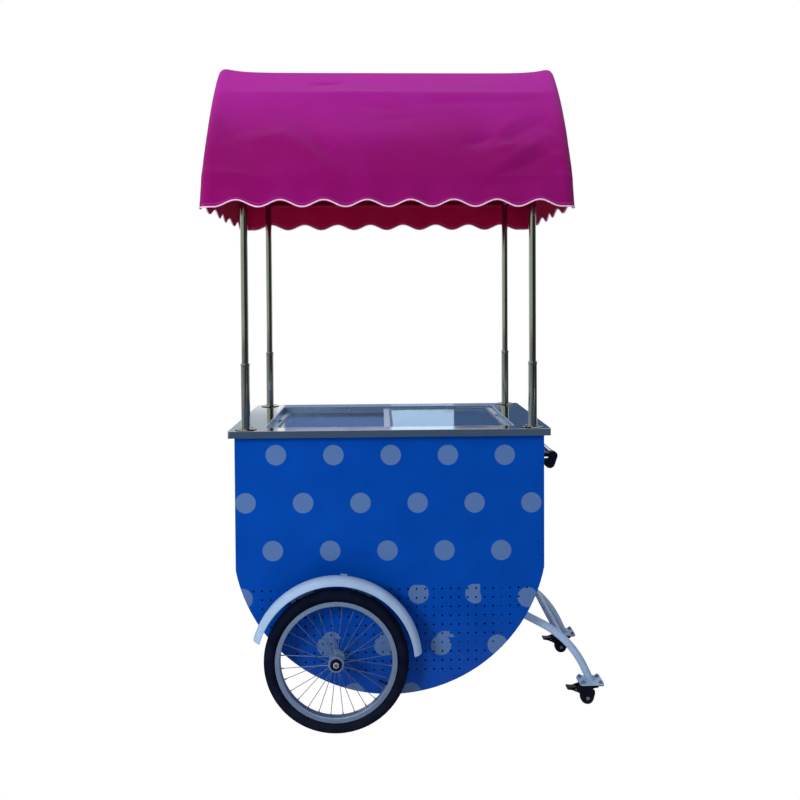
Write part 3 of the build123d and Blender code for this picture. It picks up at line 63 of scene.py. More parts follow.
# The photograph's frame in pixels, and the camera's sensor in millimetres
IMAGE_SIDE = 800
FOCAL_PIXELS = 757.07
AXIS_PIXEL_Y = 318
SENSOR = 36.0

# Places taken from the frame
PANEL_LOW, PANEL_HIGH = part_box("side_panel_near")
BODY_X = (PANEL_LOW.x + PANEL_HIGH.x) / 2
CLOTH_LOW, CLOTH_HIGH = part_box("canopy_cloth")

# Canopy cover, cut and sewn to hang on the hoops, in metres
HEM_Z = CLOTH_LOW.z
HEM_HALF = CLOTH_HIGH.y
RIDGE_Z = CLOTH_HIGH.z
CANOPY_HALF = (CLOTH_HIGH.x - CLOTH_LOW.x) / 2
CLOTH_THICKNESS = 0.0012
SLOPE_LENGTH = 0.736
VALANCE_HEIGHT = 0.109
VALANCE_SPLAY = 0.028
EAVE_BEND = 0.090
ROOF_RADIUS = 1.250
RIDGE_RADIUS = 0.060
END_CORNER = 0.040
HOOP_INSET = 0.020
HEM_FLAT = 0.053
HEM_RISE = 0.023
FRONT_WAVES = 8
END_WAVES = 5
PIPING_RADIUS = 0.0026
PIPING_ROUNDNESS = 2

# Where the rails lie, as shares of the slope from hem to ridge
EAVE_SHARE = 0.153
SHOULDER_SHARE = 0.705

# How the cloth sags, flutters and puffs out, in metres and shares of the slope
RAIL_REST = 0.0075
RIDGE_SAG = 0.010
SLOPE_SAG = 0.024
SAG_REACH = 0.050
SAG_AT_EAVE = 0.2
FLUTTER = 0.0008
LEFT_FLARE = 0.006
FLARE_REACH = 0.30
FLARE_SHARE = 0.45
DIP_SLOPE = 0.15
END_PUFF = 0.016
PUFF_STEEPNESS = 4
END_FOLD = 0.004
END_FOLDS = 7.0
END_FOLD_LEAN = 5.0
FOLD_ROUND = 0.35
FOLD_FADE = 0.15

# How finely the cloth is divided
CLOTH_STEP = 0.008
VALANCE_STEPS = 8
BEND_STEPS = 6
ROOF_STEPS = 60
CORNER_STEPS = 5
END_STEPS = 36

# Folds on a roof slope: where each starts and ends, along the cart from its middle in metres and up
# the slope from hem to ridge as a share, then how far it spreads and how high it is in metres
FOLDS = (
    ((-0.56, 0.39), (0.24, 0.40), 0.075, 0.0130),
    ((-0.36, 0.40), (-0.18, 0.15), 0.032, 0.0120),
    ((-0.30, 0.42), (-0.20, 0.28), 0.030, -0.0080),
    ((-0.62, 0.175), (-0.50, 0.160), 0.016, 0.0085),
    ((-0.52, 0.165), (-0.33, 0.095), 0.018, 0.0075),
    ((-0.59, 0.36), (-0.46, 0.46), 0.030, -0.0060),
    ((-0.46, 0.37), (-0.36, 0.42), 0.020, 0.0050),
    ((0.27, 0.35), (0.37, 0.40), 0.022, -0.0140),
    ((0.37, 0.32), (0.45, 0.34), 0.018, 0.0100),
    ((0.37, 0.40), (0.48, 0.55), 0.022, 0.0060),
    ((0.42, 0.38), (0.56, 0.52), 0.022, -0.0060),
    ((0.34, 0.17), (0.56, 0.40), 0.030, 0.0120),
    ((0.31, 0.06), (0.58, 0.32), 0.030, -0.0110),
    ((0.54, 0.50), (0.62, 0.36), 0.014, -0.0070),
    ((0.55, 0.30), (0.62, 0.22), 0.014, 0.0070),
    ((0.57, 0.20), (0.62, 0.10), 0.012, -0.0060),
    ((-0.29, 0.80), (-0.17, 0.82), 0.010, -0.0085),
    ((-0.60, 0.715), (0.00, 0.715), 0.014, 0.0040),
    ((-0.20, 0.715), (0.60, 0.715), 0.014, 0.0045),
    ((-0.03, 0.52), (0.09, 0.54), 0.012, -0.0045),
    ((-0.12, 0.625), (0.07, 0.59), 0.016, -0.0050),
    ((0.07, 0.643), (0.54, 0.660), 0.016, -0.0050),
)

# How meshes are cleaned, rounded and shaded, in metres and degrees
MERGE_GAP = 0.00002
FLAT_ANGLE = 0.5
SHARP_ANGLE = 40
EDGE_STEPS = 2
EDGE_ANGLE = 30
SMOOTH_ANGLE = 35
BEVEL_ANGLE = 50
ROUND_ANGLE = 60
FACE_WEIGHT = 100
UPRIGHT = 0.9

# Wheels, in metres and degrees
TYRE_LOW, TYRE_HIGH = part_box("tyre_near")
AXLE_X = (TYRE_LOW.x + TYRE_HIGH.x) / 2
AXLE_Z = (TYRE_LOW.z + TYRE_HIGH.z) / 2
WHEEL_RADIUS = (TYRE_HIGH.z - TYRE_LOW.z) / 2
WHEEL_Y = -(TYRE_LOW.y + TYRE_HIGH.y) / 2
RIM_INNER_RADIUS = 0.193
SPOKES_PER_WHEEL = 28
SPOKE_PITCH = 360 / SPOKES_PER_WHEEL
SPOKE_HOLE_RADIUS = 0.025
SPOKE_RADIUS = 0.0012
SPOKE_SIDES = 8
SPOKE_RIM_OFFSET = 0.003
HUB_FLANGE_OFFSET = 0.022
SPOKE_HEAD_OFFSET = 0.0028
NIPPLE_RADIUS = 0.0023
NIPPLE_LENGTH = 0.0078
VALVE_ANGLE = -2 * SPOKE_PITCH
VALVE_NUT_RADIUS = 0.006
VALVE_NUT_HEIGHT = 0.003
VALVE_NUT_SIDES = 6
MUDGUARD_LIP_RADIUS = 0.272
MUDGUARD_HALF_WIDTH = 0.031
MUDGUARD_FRONT_ANGLE = 5.0
MUDGUARD_REAR_ANGLE = 164.0
MUDGUARD_BEAD_RADIUS = 0.0022
MUDGUARD_BEAD_SIDES = 10
MUDGUARD_BEAD_STEPS = 72

# A hub cover's steps round the axle, and its section: distances from the axle and from the wheel's
# middle, in metres
COVER_STEPS = 56
COVER_PROFILE = (
    (0.01805, 0.0242),
    (0.01805, 0.0259),
    (0.0200, 0.0260),
    (0.0200, 0.0285),
    (0.0262, 0.0290),
    (0.0272, 0.0284),
    (0.0262, 0.0277),
    (0.0208, 0.0272),
    (0.0208, 0.0242),
)

# Turned small parts above their first length: how far each step rises, and its width against the one
# below; a screw's steps rise by shares of its height
NIPPLE_STEPS = ((0.0013, 0.75), (0.0039, 0.85))
ELBOW_STEPS = ((0.0, 1.75), (0.0009, 1.0), (0.0006, 0.6))
VALVE_STEPS = ((0.0, 0.5), (0.0165, 1.0), (0.0, 1.35), (0.0105, 1.0), (0.0015, 0.6))
SCREW_STEPS = ((0.35, 0.86), (0.15, 0.72), (0.0, 0.6), (-0.5, 0.9))
SCREW_SHANK = 0.5
SCREW_SIDES = 12

# Counter, poles and handle, in metres and degrees
SLEEVE_LOW, SLEEVE_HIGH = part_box("pole_sleeves")
SLEEVE_RADIUS = 0.0155
FLANGE_RADIUS = 0.035
FLANGE_THICKNESS = 0.004
FLANGE_TOP = SLEEVE_LOW.z + FLANGE_THICKNESS
POLE_X = (SLEEVE_HIGH.x - SLEEVE_LOW.x) / 2 - FLANGE_RADIUS
POLE_Y = (SLEEVE_HIGH.y - SLEEVE_LOW.y) / 2 - FLANGE_RADIUS
SCREW_CIRCLE = 0.026
SCREW_ANGLES = (45, 135, 225, 315)
SCREW_RADIUS = 0.0036
SCREW_HEIGHT = 0.0018
# A thin black gasket ring at each flange's foot, painted shade for the flange's shadow line on the counter
SHADOW_GASKET_EDGE = 0.0022
SHADOW_GASKET_HEIGHT = 0.0020
SHADOW_GASKET_ROUND = SHADOW_GASKET_EDGE / 4
SHADOW_GASKET_SIDES = 48
COLLAR_HEIGHT = 0.010
COLLAR_WALL = 0.0008
COLLAR_ROUND = COLLAR_WALL / 3
COLLAR_SIDES = 40
GLASS_BEAD_WIDTH = 0.010
GLASS_BEAD_HEIGHT = 0.0012
GLASS_BEAD_ROUND = 0.0004
HANDLE_FOOT = 0.006
HANDLE_SCREW_INSET = 0.010

# Legs and casters, in metres and degrees
LEG_RADIUS = 0.014
LEG_FOOT_ANGLE = 65.0
LEG_PLATE_TOP = 0.086
WELD_RADIUS = 0.0024
WELD_RIPPLE = 0.35
WELD_RIPPLES = 26
WELD_STEPS = 96
WELD_SIDES = 8
CASTER_X = 0.662
CASTER_Y = 0.205
CASTER_TRAIL = 0.012
CASTER_WHEEL_Z = 0.025
FORK_FACE = 0.014
RIVET_FACE = 0.0165
RIVET_RADIUS = 0.0066
RIVET_HEIGHT = 0.0012
PEDAL_X = 0.606
PEDAL_Z = 0.0577
PIN_SHARE = 0.42

# CAD nodes shown with softened edges, and how wide the rounding is in metres
SOFT_EDGES = {
    "countertop": 0.0016,
    "handle_bracket_near": 0.0012,
    "handle_bracket_far": 0.0012,
    "axle_caps": 0.0010,
}

# Polka dots on the flat panels, in metres
DOT_DIAMETER = 0.072
DOT_COLUMN_PITCH = 0.2015
DOT_ROW_PITCH = 0.1693
DOT_ROW_SHIFT = 0.0940
DOT_FIRST_X = -0.401
DOT_TOP_Z = 0.948
DOT_EDGE = 0.0008
DOT_SKEW = 0.0095

# The piece of dotted film laid over the vent holes, a little out of step with the rest, in metres
PATCH_HALF = 0.316
PATCH_BOTTOM = 0.297
PATCH_TOP = 0.4855
PATCH_SLIP_X = 0.015
PATCH_SLIP_Z = 0.015
PATCH_EDGE = 0.0012
PATCH_THICKNESS = 0.0003


def screen_colour(red, green, blue):
    """A colour as a screen shows it, 0 to 255, as the shader's linear values."""
    shares = [value / 255 for value in (red, green, blue)]
    linear = [s / 12.92 if s <= 0.04045 else ((s + 0.055) / 1.055) ** 2.4 for s in shares]
    return (*linear, 1.0)


# Smudges, dust and grain, in metres and shares
SMUDGE_RANGE = (0.32, 0.68)
SMUDGE_DEPTH = 0.86
DUST_REACH = 0.40
DUST_RANGE = (0.35, 0.75)
DUST_LEAST = 0.2
DUST_COLOUR = screen_colour(122, 116, 108)
GRAIN_DEPTH = 0.0004

# Blue paint
PAINT_SMOOTH = 0.30
PAINT_ROUGH = 0.44
PAINT_PATCH = 0.16
PAINT_GLOSS = 0.02
PAINT_DUST = 0.10
PAINT_RIPPLE = 0.1 * GRAIN_DEPTH
PANEL_BLUE = screen_colour(2, 66, 160)
PANEL_BLUE_DEEP = screen_colour(1, 60, 149)
DOT_COLOUR = screen_colour(77, 106, 155)

# Canopy cloth, in metres and shares
# Painted light and shade on the cloth from hem to ridge: where it starts and ends up the slope in metres,
# and how far random patches shift it
SHADE_RAMP_LOW = 0.21
SHADE_RAMP_HIGH = 0.58
SHADE_RAMP_PATCHES = 0.34
THREAD_PITCH = 0.0016
WEAVE_STRENGTH = 0.25
WEAVE_DEPTH = THREAD_PITCH / 4
STITCH_FROM_HEM = 0.011
STITCH_WIDTH = 0.0007
STITCH_SOFTNESS = 1.5
STITCH_PITCH = 0.007
STITCH_ENDS = (-0.5, -0.2)
STITCH_RISE = 2.0
STITCH_COLOUR = screen_colour(172, 78, 150)

# Tyre rubber, in metres and shares
RUBBER_BLACK = screen_colour(5, 10, 28)
RUBBER_WORN = screen_colour(13, 20, 40)
RUBBER_DUST = 0.04
RUBBER_DUST_REACH = 0.25
TREAD_BLOCKS = 84
TREAD_SLANT = 260.0
TREAD_WALLS = (-0.25, 0.05)
TREAD_GROOVE = 0.0014
TREAD_GROOVE_TOP = 1.6 * TREAD_GROOVE
TREAD_STRENGTH = 0.9
TREAD_HEIGHT = 0.0016
TREAD_DEPTH = 0.012
TREAD_FOOT = WHEEL_RADIUS - TREAD_DEPTH
TREAD_FOOT_SOFTNESS = 0.001
WALL_RING_PITCH = 0.0024
WALL_RING_HEIGHTS = (0.4, 0.5)

# Glass, its blue partly a painted reflection of blue sky in the panes
GLASS_TINT_AND_SKY = (0.19, 0.39, 0.70, 1.0)
GLASS_IOR = 1.45

# Studio
WORLD_TINT = (0.93, 0.96, 1.0, 1.0)
WORLD_STRENGTH = 0.38
WHITE = (1.0, 1.0, 1.0, 1.0)
FLOOR_PAINT = (0.9, 0.9, 0.9, 1.0)
FLOOR_SIDE = 60
LAMP_AIM = Vector((BODY_X, 0, 1.1))

# Lamps: where each stands, its width and height in metres, and its power in watts
LAMPS = {
    "front_lamp": ((-3.5, -4.2, 2.9), 1.6, 1.6, 225),
    "side_lamp": ((4.2, -2.4, 2.4), 2.0, 3.0, 20),
    "top_lamp": ((0.0, 0.4, 5.4), 3.0, 3.0, 80),
}

# Cards round the cart that steel and glass mirror in place of the white surroundings: two corners in
# metres, and the light that each sends out in red, green and blue
FRONT_Y = -5.2
BACK_Y = 4.5
LEFT_X = -5.0
RIGHT_X = 5.0
CARD_TOP = 3.4
BACK_FOOT = 1.655
BRIGHT_FOOT = 1.1
CARDS = {
    "front_right_card": ((-0.5, FRONT_Y, 0.5), (RIGHT_X, FRONT_Y, CARD_TOP), (0.035, 0.038, 0.036)),
    "front_left_card": ((LEFT_X, FRONT_Y, 0.5), (-0.5, FRONT_Y, BRIGHT_FOOT), (0.20, 0.21, 0.19)),
    "front_bright_card": ((LEFT_X, FRONT_Y, BRIGHT_FOOT), (-0.5, FRONT_Y, CARD_TOP), (0.52, 0.56, 0.43)),
    "ground_card": ((-6.0, -9.0, 0.002), (6.0, 3.0, 0.002), (0.074, 0.118, 0.185)),
    "right_card": ((RIGHT_X, FRONT_Y, -0.2), (RIGHT_X, 2.2, CARD_TOP), (0.05, 0.055, 0.055)),
    "left_card": ((LEFT_X, FRONT_Y, -0.2), (LEFT_X, 2.2, BRIGHT_FOOT), (0.38, 0.39, 0.35)),
    "left_bright_card": ((LEFT_X, FRONT_Y, BRIGHT_FOOT), (LEFT_X, 2.2, CARD_TOP), (0.58, 0.62, 0.47)),
    "back_left_card": ((-2.2, BACK_Y, BACK_FOOT), (-1.12, BACK_Y, 2.1), (0.45, 0.52, 0.55)),
    "back_blue_card": ((-1.05, BACK_Y, BACK_FOOT), (0.0, BACK_Y, 1.9), (0.14, 0.20, 0.44)),
    "back_sky_card": ((0.0, BACK_Y, BACK_FOOT), (0.62, BACK_Y, 1.9), (0.80, 1.08, 1.42)),
    "back_dark_card": ((0.62, BACK_Y, BACK_FOOT), (1.1, BACK_Y, 1.9), (0.03, 0.06, 0.13)),
    "back_low_card": ((-1.05, BACK_Y, 1.2), (1.1, BACK_Y, BACK_FOOT), (0.26, 0.36, 0.50)),
    "back_right_card": ((1.1, BACK_Y, 1.2), (2.2, BACK_Y, 2.1), (0.06, 0.11, 0.21)),
}


# Camera
def set_camera():
    """The photograph's viewing point, direction, lens and framing."""
    lens = bpy.data.cameras.new("cart_camera")
    lens.sensor_width = SENSOR
    lens.lens = FOCAL_PIXELS / IMAGE_SIDE * SENSOR
    lens.shift_y = (AXIS_PIXEL_Y - IMAGE_SIDE / 2) / IMAGE_SIDE
    yaw = Matrix.Rotation(-CAMERA_YAW, 4, "Z")
    pitch = Matrix.Rotation(math.pi / 2 + CAMERA_PITCH, 4, "X")
    roll = Matrix.Rotation(CAMERA_ROLL, 4, "Z")
    camera = add_object("cart_camera", lens)
    camera.matrix_world = Matrix.Translation(CAMERA_PLACE) @ yaw @ pitch @ roll
    bpy.context.scene.camera = camera


# Nodes
def feed(tree, node, values):
    """Set a node's sockets by name or number, and link those whose value is another node's socket."""
    for socket, value in values.items():
        if isinstance(value, bpy.types.NodeSocket):
            tree.links.new(value, node.inputs[socket])
        else:
            node.inputs[socket].default_value = value


def add_node(tree, kind, values=None, **settings):
    """A node with its settings and what its sockets are fed."""
    node = tree.nodes.new(kind)
    for name, setting in settings.items():
        setattr(node, name, setting)
    feed(tree, node, values or {})
    return node


def maths(tree, operation, *terms, clamp=False):
    """One step of arithmetic on sockets and numbers."""
    numbered = dict(enumerate(terms))
    node = add_node(tree, "ShaderNodeMath", numbered, operation=operation, use_clamp=clamp)
    return node.outputs["Value"]


def distance_from(tree, across, up):
    """How far away a point is by its two offsets."""
    squares = maths(tree, "MULTIPLY_ADD", across, across, maths(tree, "MULTIPLY", up, up))
    return maths(tree, "SQRT", squares)


def spread(tree, value, low, high, to_low=0.0, to_high=1.0):
    """A value moved from one range to another, held at its ends."""
    ranges = {"From Min": low, "From Max": high, "To Min": to_low, "To Max": to_high}
    return add_node(tree, "ShaderNodeMapRange", {"Value": value, **ranges}).outputs["Result"]


def split(tree, vector):
    """A vector's parts along X, Y and Z."""
    return add_node(tree, "ShaderNodeSeparateXYZ", {"Vector": vector}).outputs


def uneven(tree, place, scale, detail, roughness):
    """A value that wanders about a half from place to place."""
    values = {"Vector": place, "Scale": scale, "Detail": detail, "Roughness": roughness}
    return add_node(tree, "ShaderNodeTexNoise", values).outputs[0]


def mix_colours(tree, factor, first, second):
    """One colour turning into another where the factor is 1."""
    node = add_node(tree, "ShaderNodeMix", {"Factor": factor}, data_type="RGBA")
    places = [place for place, socket in enumerate(node.inputs) if socket.type == "RGBA"]
    feed(tree, node, dict(zip(places, (first, second))))
    return [socket for socket in node.outputs if socket.type == "RGBA"][0]


def new_group(name, vectors, numbers=()):
    """An empty shared effect, and the vectors and numbers that it is given."""
    group = bpy.data.node_groups.new(name, "ShaderNodeTree")
    for kind, sockets in (("Vector", vectors), ("Float", numbers)):
        for socket in sockets:
            group.interface.new_socket(socket, in_out="INPUT", socket_type="NodeSocket" + kind)
    return group, group.nodes.new("NodeGroupInput").outputs


def close_group(group, results):
    """A shared effect with the numbers that it gives back."""
    for socket in results:
        group.interface.new_socket(socket, in_out="OUTPUT", socket_type="NodeSocketFloat")
    feed(group, group.nodes.new("NodeGroupOutput"), results)
    return group


def place_group(tree, group, **values):
    """A shared effect placed in a material."""
    return add_node(tree, "ShaderNodeGroup", values, node_tree=group).outputs


# Shared effects
def make_smudges():
    """Smoother and rougher patches, and the same patches as a shade from 0 to 1."""
    group, given = new_group("smudges", ["Place"], ["Patch", "Smooth", "Rough"])
    scale = maths(group, "DIVIDE", 1.0, given["Patch"])
    blots = uneven(group, given["Place"], scale, detail=5.0, roughness=0.6)
    shade = spread(group, blots, *SMUDGE_RANGE)
    extent = maths(group, "SUBTRACT", given["Rough"], given["Smooth"])
    roughness = maths(group, "MULTIPLY_ADD", shade, extent, given["Smooth"])
    return close_group(group, {"Roughness": roughness, "Shade": shade})


def make_fine_grain():
    """A fine uneven height, drawn out along one direction where the stretch is small."""
    group, given = new_group("fine_grain", ["Place", "Stretch"])
    factors = {0: given["Place"], 1: given["Stretch"]}
    stretched = add_node(group, "ShaderNodeVectorMath", factors, operation="MULTIPLY").outputs["Vector"]
    return close_group(group, {"Height": uneven(group, stretched, scale=1.0, detail=3.0, roughness=0.5)})


def make_ground_dust():
    """Patchy dust that gets thinner with height above the ground."""
    group, given = new_group("ground_dust", ["Place"], ["Reach"])
    height = maths(group, "DIVIDE", split(group, given["Place"])["Z"], given["Reach"])
    thinning = maths(group, "SUBTRACT", 1.0, height, clamp=True)
    specks = uneven(group, given["Place"], scale=24.0, detail=6.0, roughness=0.7)
    patches = spread(group, specks, *DUST_RANGE, to_low=DUST_LEAST)
    return close_group(group, {"Mask": maths(group, "MULTIPLY", thinning, patches)})


def make_polka_dots():
    """1 inside round dots that stand in shifted rows."""
    group, given = new_group("polka_dots", [], ["Across", "Up"])
    straight_up = maths(group, "MULTIPLY_ADD", given["Across"], DOT_SKEW, given["Up"])
    below_top = maths(group, "SUBTRACT", DOT_TOP_Z, straight_up)
    row = maths(group, "ROUND", maths(group, "DIVIDE", below_top, DOT_ROW_PITCH))
    from_row = maths(group, "MULTIPLY_ADD", row, -DOT_ROW_PITCH, below_top)
    from_first = maths(group, "SUBTRACT", given["Across"], DOT_FIRST_X)
    shifted = maths(group, "MULTIPLY_ADD", row, -DOT_ROW_SHIFT, from_first)
    column = maths(group, "ROUND", maths(group, "DIVIDE", shifted, DOT_COLUMN_PITCH))
    from_column = maths(group, "MULTIPLY_ADD", column, -DOT_COLUMN_PITCH, shifted)
    distance = distance_from(group, from_row, from_column)
    radius = DOT_DIAMETER / 2
    mask = spread(group, distance, radius - DOT_EDGE, radius + DOT_EDGE, 1.0, 0.0)
    return close_group(group, {"Mask": mask})


def make_film_patch():
    """1 on the piece of film over the vent holes, and the place on the film that shows there."""
    group, given = new_group("film_patch", [], ["Across", "Up"])
    past_side = maths(group, "SUBTRACT", maths(group, "ABSOLUTE", given["Across"]), PATCH_HALF)
    middle = (PATCH_TOP + PATCH_BOTTOM) / 2
    off_middle = maths(group, "ABSOLUTE", maths(group, "SUBTRACT", given["Up"], middle))
    past_end = maths(group, "SUBTRACT", off_middle, PATCH_TOP - middle)
    outside = maths(group, "MAXIMUM", past_side, past_end)
    inside = maths(group, "LESS_THAN", outside, 0.0)
    results = {
        "Mask": spread(group, outside, -PATCH_EDGE, 0.0, 1.0, 0.0),
        "Film Across": maths(group, "MULTIPLY_ADD", inside, -PATCH_SLIP_X, given["Across"]),
        "Film Up": maths(group, "MULTIPLY_ADD", inside, -PATCH_SLIP_Z, given["Up"]),
    }
    return close_group(group, results)


def make_cloth_weave():
    """Crossing threads of a plain weave, as a height."""
    group, given = new_group("cloth_weave", ["Thread"], ["Pitch"])
    parts = split(group, given["Thread"])
    turn = maths(group, "DIVIDE", 2 * math.pi, given["Pitch"])
    warp = maths(group, "SINE", maths(group, "MULTIPLY", parts["X"], turn))
    weft = maths(group, "SINE", maths(group, "MULTIPLY", parts["Y"], turn))
    return close_group(group, {"Height": maths(group, "MULTIPLY", warp, weft)})


def make_tyre_tread():
    """Slanted tread blocks round the outside of a tyre, and fine rings on its walls, as a height."""
    group, given = new_group("tyre_tread", ["Place"])
    parts = split(group, given["Place"])
    ahead = maths(group, "SUBTRACT", parts["X"], AXLE_X)
    above = maths(group, "SUBTRACT", parts["Z"], AXLE_Z)
    radius = distance_from(group, ahead, above)
    angle = maths(group, "ARCTAN2", above, ahead)
    sideways = maths(group, "SUBTRACT", maths(group, "ABSOLUTE", parts["Y"]), WHEEL_Y)
    off_middle = maths(group, "ABSOLUTE", sideways)
    slant = maths(group, "MULTIPLY", off_middle, TREAD_SLANT)
    blocks = maths(group, "SINE", maths(group, "MULTIPLY_ADD", angle, TREAD_BLOCKS, slant))
    block_height = spread(group, blocks, *TREAD_WALLS)
    groove = spread(group, off_middle, TREAD_GROOVE, TREAD_GROOVE_TOP)
    tread = maths(group, "MULTIPLY", block_height, groove)
    rings = maths(group, "SINE", maths(group, "MULTIPLY", radius, 2 * math.pi / WALL_RING_PITCH))
    wall = spread(group, rings, -1.0, 1.0, *WALL_RING_HEIGHTS)
    zone = spread(group, radius, TREAD_FOOT - TREAD_FOOT_SOFTNESS, TREAD_FOOT)
    rise = maths(group, "SUBTRACT", tread, wall)
    return close_group(group, {"Height": maths(group, "MULTIPLY_ADD", zone, rise, wall)})


# Finishes
def new_finish(name):
    """A material with its shader and the piece's own coordinates."""
    material = bpy.data.materials.new(name)
    material.use_nodes = True
    tree = material.node_tree
    place = add_node(tree, "ShaderNodeTexCoord").outputs["Object"]
    return material, tree, tree.nodes["Principled BSDF"], place


def set_bump(tree, shader, height, strength, depth):
    """A height that the light sees on the surface."""
    values = {"Strength": strength, "Distance": depth, "Height": height}
    feed(tree, shader, {"Normal": add_node(tree, "ShaderNodeBump", values).outputs["Normal"]})


def dusted(tree, place, colour, share, reach=DUST_REACH):
    """A colour with a share of dust over it near the ground."""
    dust = place_group(tree, GROUND_DUST, Place=place, Reach=reach)
    return mix_colours(tree, maths(tree, "MULTIPLY", dust["Mask"], share), colour, DUST_COLOUR)


def surface(name, colour, metallic, smooth, rough, patch, stretch, bump, dust=0.0, specular=0.5):
    """A finish with uneven gloss, a fine grain, a little change of shade and dust near the ground."""
    material, tree, shader, place = new_finish(name)
    smudges = place_group(tree, SMUDGES, Place=place, Patch=patch, Smooth=smooth, Rough=rough)
    deep = tuple(SMUDGE_DEPTH * part for part in colour[:3]) + (1.0,)
    shaded = mix_colours(tree, smudges["Shade"], colour, deep)
    if dust:
        shaded = dusted(tree, place, shaded, dust)
    feed(tree, shader, {"Base Color": shaded, "Roughness": smudges["Roughness"]})
    feed(tree, shader, {"Metallic": metallic, "Specular IOR Level": specular})
    grain = place_group(tree, FINE_GRAIN, Place=place, Stretch=stretch)
    set_bump(tree, shader, grain["Height"], bump, GRAIN_DEPTH)
    return material


def dotted_paint(name, across):
    """Glossy blue paint with pale dots; across names the axis that the panel runs along."""
    material, tree, shader, place = new_finish(name)
    parts = split(tree, place)
    along, up = parts[across], parts["Z"]
    grain = place_group(tree, FINE_GRAIN, Place=place, Stretch=PAINT_GRAIN)
    height = maths(tree, "MULTIPLY", grain["Height"], PAINT_RIPPLE)
    if across == "X":
        from_middle = maths(tree, "SUBTRACT", along, BODY_X)
        film = place_group(tree, FILM_PATCH, Across=from_middle, Up=up)
        along, up = film["Film Across"], film["Film Up"]
        height = maths(tree, "MULTIPLY_ADD", film["Mask"], PATCH_THICKNESS, height)
    dots = place_group(tree, POLKA_DOTS, Across=along, Up=up)
    smudges = place_group(
        tree, SMUDGES, Place=place, Patch=PAINT_PATCH, Smooth=PAINT_SMOOTH, Rough=PAINT_ROUGH
    )
    blue = mix_colours(tree, smudges["Shade"], PANEL_BLUE, PANEL_BLUE_DEEP)
    spotted = mix_colours(tree, dots["Mask"], blue, DOT_COLOUR)
    dusty = dusted(tree, place, spotted, PAINT_DUST)
    feed(tree, shader, {"Base Color": dusty, "Roughness": smudges["Roughness"]})
    feed(tree, shader, {"Specular IOR Level": PAINT_GLOSS})
    set_bump(tree, shader, height, strength=1.0, depth=1.0)
    return material


def canopy_fabric(name, ridge_colour, hem_colour, specular):
    """Woven cloth with painted light and shade from hem to ridge, and a stitched line along its hem."""
    material, tree, shader, place = new_finish(name)
    threads = add_node(tree, "ShaderNodeUVMap", uv_map="threads").outputs["UV"]
    hem_gap = add_node(tree, "ShaderNodeAttribute", attribute_name="hem_gap").outputs["Fac"]
    smudges = place_group(tree, SMUDGES, Place=place, Patch=0.22, Smooth=0.62, Rough=0.80)
    weave = place_group(tree, CLOTH_WEAVE, Thread=threads, Pitch=THREAD_PITCH)
    # Painted light and shade: the cloth turns from its hem colour to its ridge colour up the slope
    painted_shade_ramp = spread(tree, hem_gap, SHADE_RAMP_LOW, SHADE_RAMP_HIGH)
    patchy = maths(tree, "MULTIPLY_ADD", smudges["Shade"], SHADE_RAMP_PATCHES, painted_shade_ramp)
    painted_shade = maths(tree, "SUBTRACT", patchy, SHADE_RAMP_PATCHES / 2, clamp=True)
    cloth = mix_colours(tree, painted_shade, hem_colour, ridge_colour)
    off_line = maths(tree, "ABSOLUTE", maths(tree, "SUBTRACT", hem_gap, STITCH_FROM_HEM))
    on_line = spread(tree, off_line, STITCH_WIDTH, STITCH_SOFTNESS * STITCH_WIDTH, 1.0, 0.0)
    along_hem = split(tree, threads)["X"]
    turns = maths(tree, "SINE", maths(tree, "MULTIPLY", along_hem, 2 * math.pi / STITCH_PITCH))
    stitch = maths(tree, "MULTIPLY", on_line, spread(tree, turns, *STITCH_ENDS))
    sewn = mix_colours(tree, stitch, cloth, STITCH_COLOUR)
    feed(tree, shader, {"Base Color": sewn, "Roughness": smudges["Roughness"]})
    feed(tree, shader, {"Specular IOR Level": specular, "Sheen Weight": 0.03, "Sheen Roughness": 0.5})
    height = maths(tree, "MULTIPLY_ADD", stitch, STITCH_RISE, weave["Height"])
    set_bump(tree, shader, height, WEAVE_STRENGTH, WEAVE_DEPTH)
    return material


def tyre_rubber(name):
    """Black rubber with a tread, ringed walls and road dust."""
    material, tree, shader, place = new_finish(name)
    smudges = place_group(tree, SMUDGES, Place=place, Patch=0.05, Smooth=0.55, Rough=0.75)
    shaded = mix_colours(tree, smudges["Shade"], RUBBER_BLACK, RUBBER_WORN)
    dusty = dusted(tree, place, shaded, RUBBER_DUST, RUBBER_DUST_REACH)
    feed(tree, shader, {"Base Color": dusty, "Roughness": smudges["Roughness"]})
    feed(tree, shader, {"Specular IOR Level": 0.07})
    tread = place_group(tree, TYRE_TREAD, Place=place)
    set_bump(tree, shader, tread["Height"], TREAD_STRENGTH, TREAD_HEIGHT)
    return material


def lid_glass(name):
    """Glass tinted blue, partly a painted reflection of sky, with faint wipe marks."""
    material, tree, shader, place = new_finish(name)
    smudges = place_group(tree, SMUDGES, Place=place, Patch=0.10, Smooth=0.01, Rough=0.06)
    feed(tree, shader, {"Base Color": GLASS_TINT_AND_SKY, "Roughness": smudges["Roughness"]})
    feed(tree, shader, {"Transmission Weight": 1.0, "IOR": GLASS_IOR})
    return material


# Studio
def show_by_ray(tree, output, carried, seen):
    """One shader for the rays that carry light, another for those the camera, a mirror or glass sends."""
    path = add_node(tree, "ShaderNodeLightPath").outputs
    mirror_or_camera = maths(tree, "MAXIMUM", path["Is Camera Ray"], path["Is Glossy Ray"])
    looking = maths(tree, "MAXIMUM", mirror_or_camera, path["Is Transmission Ray"])
    mix = add_node(tree, "ShaderNodeMixShader", {"Fac": looking, 1: carried, 2: seen})
    feed(tree, output, {"Surface": mix.outputs["Shader"]})


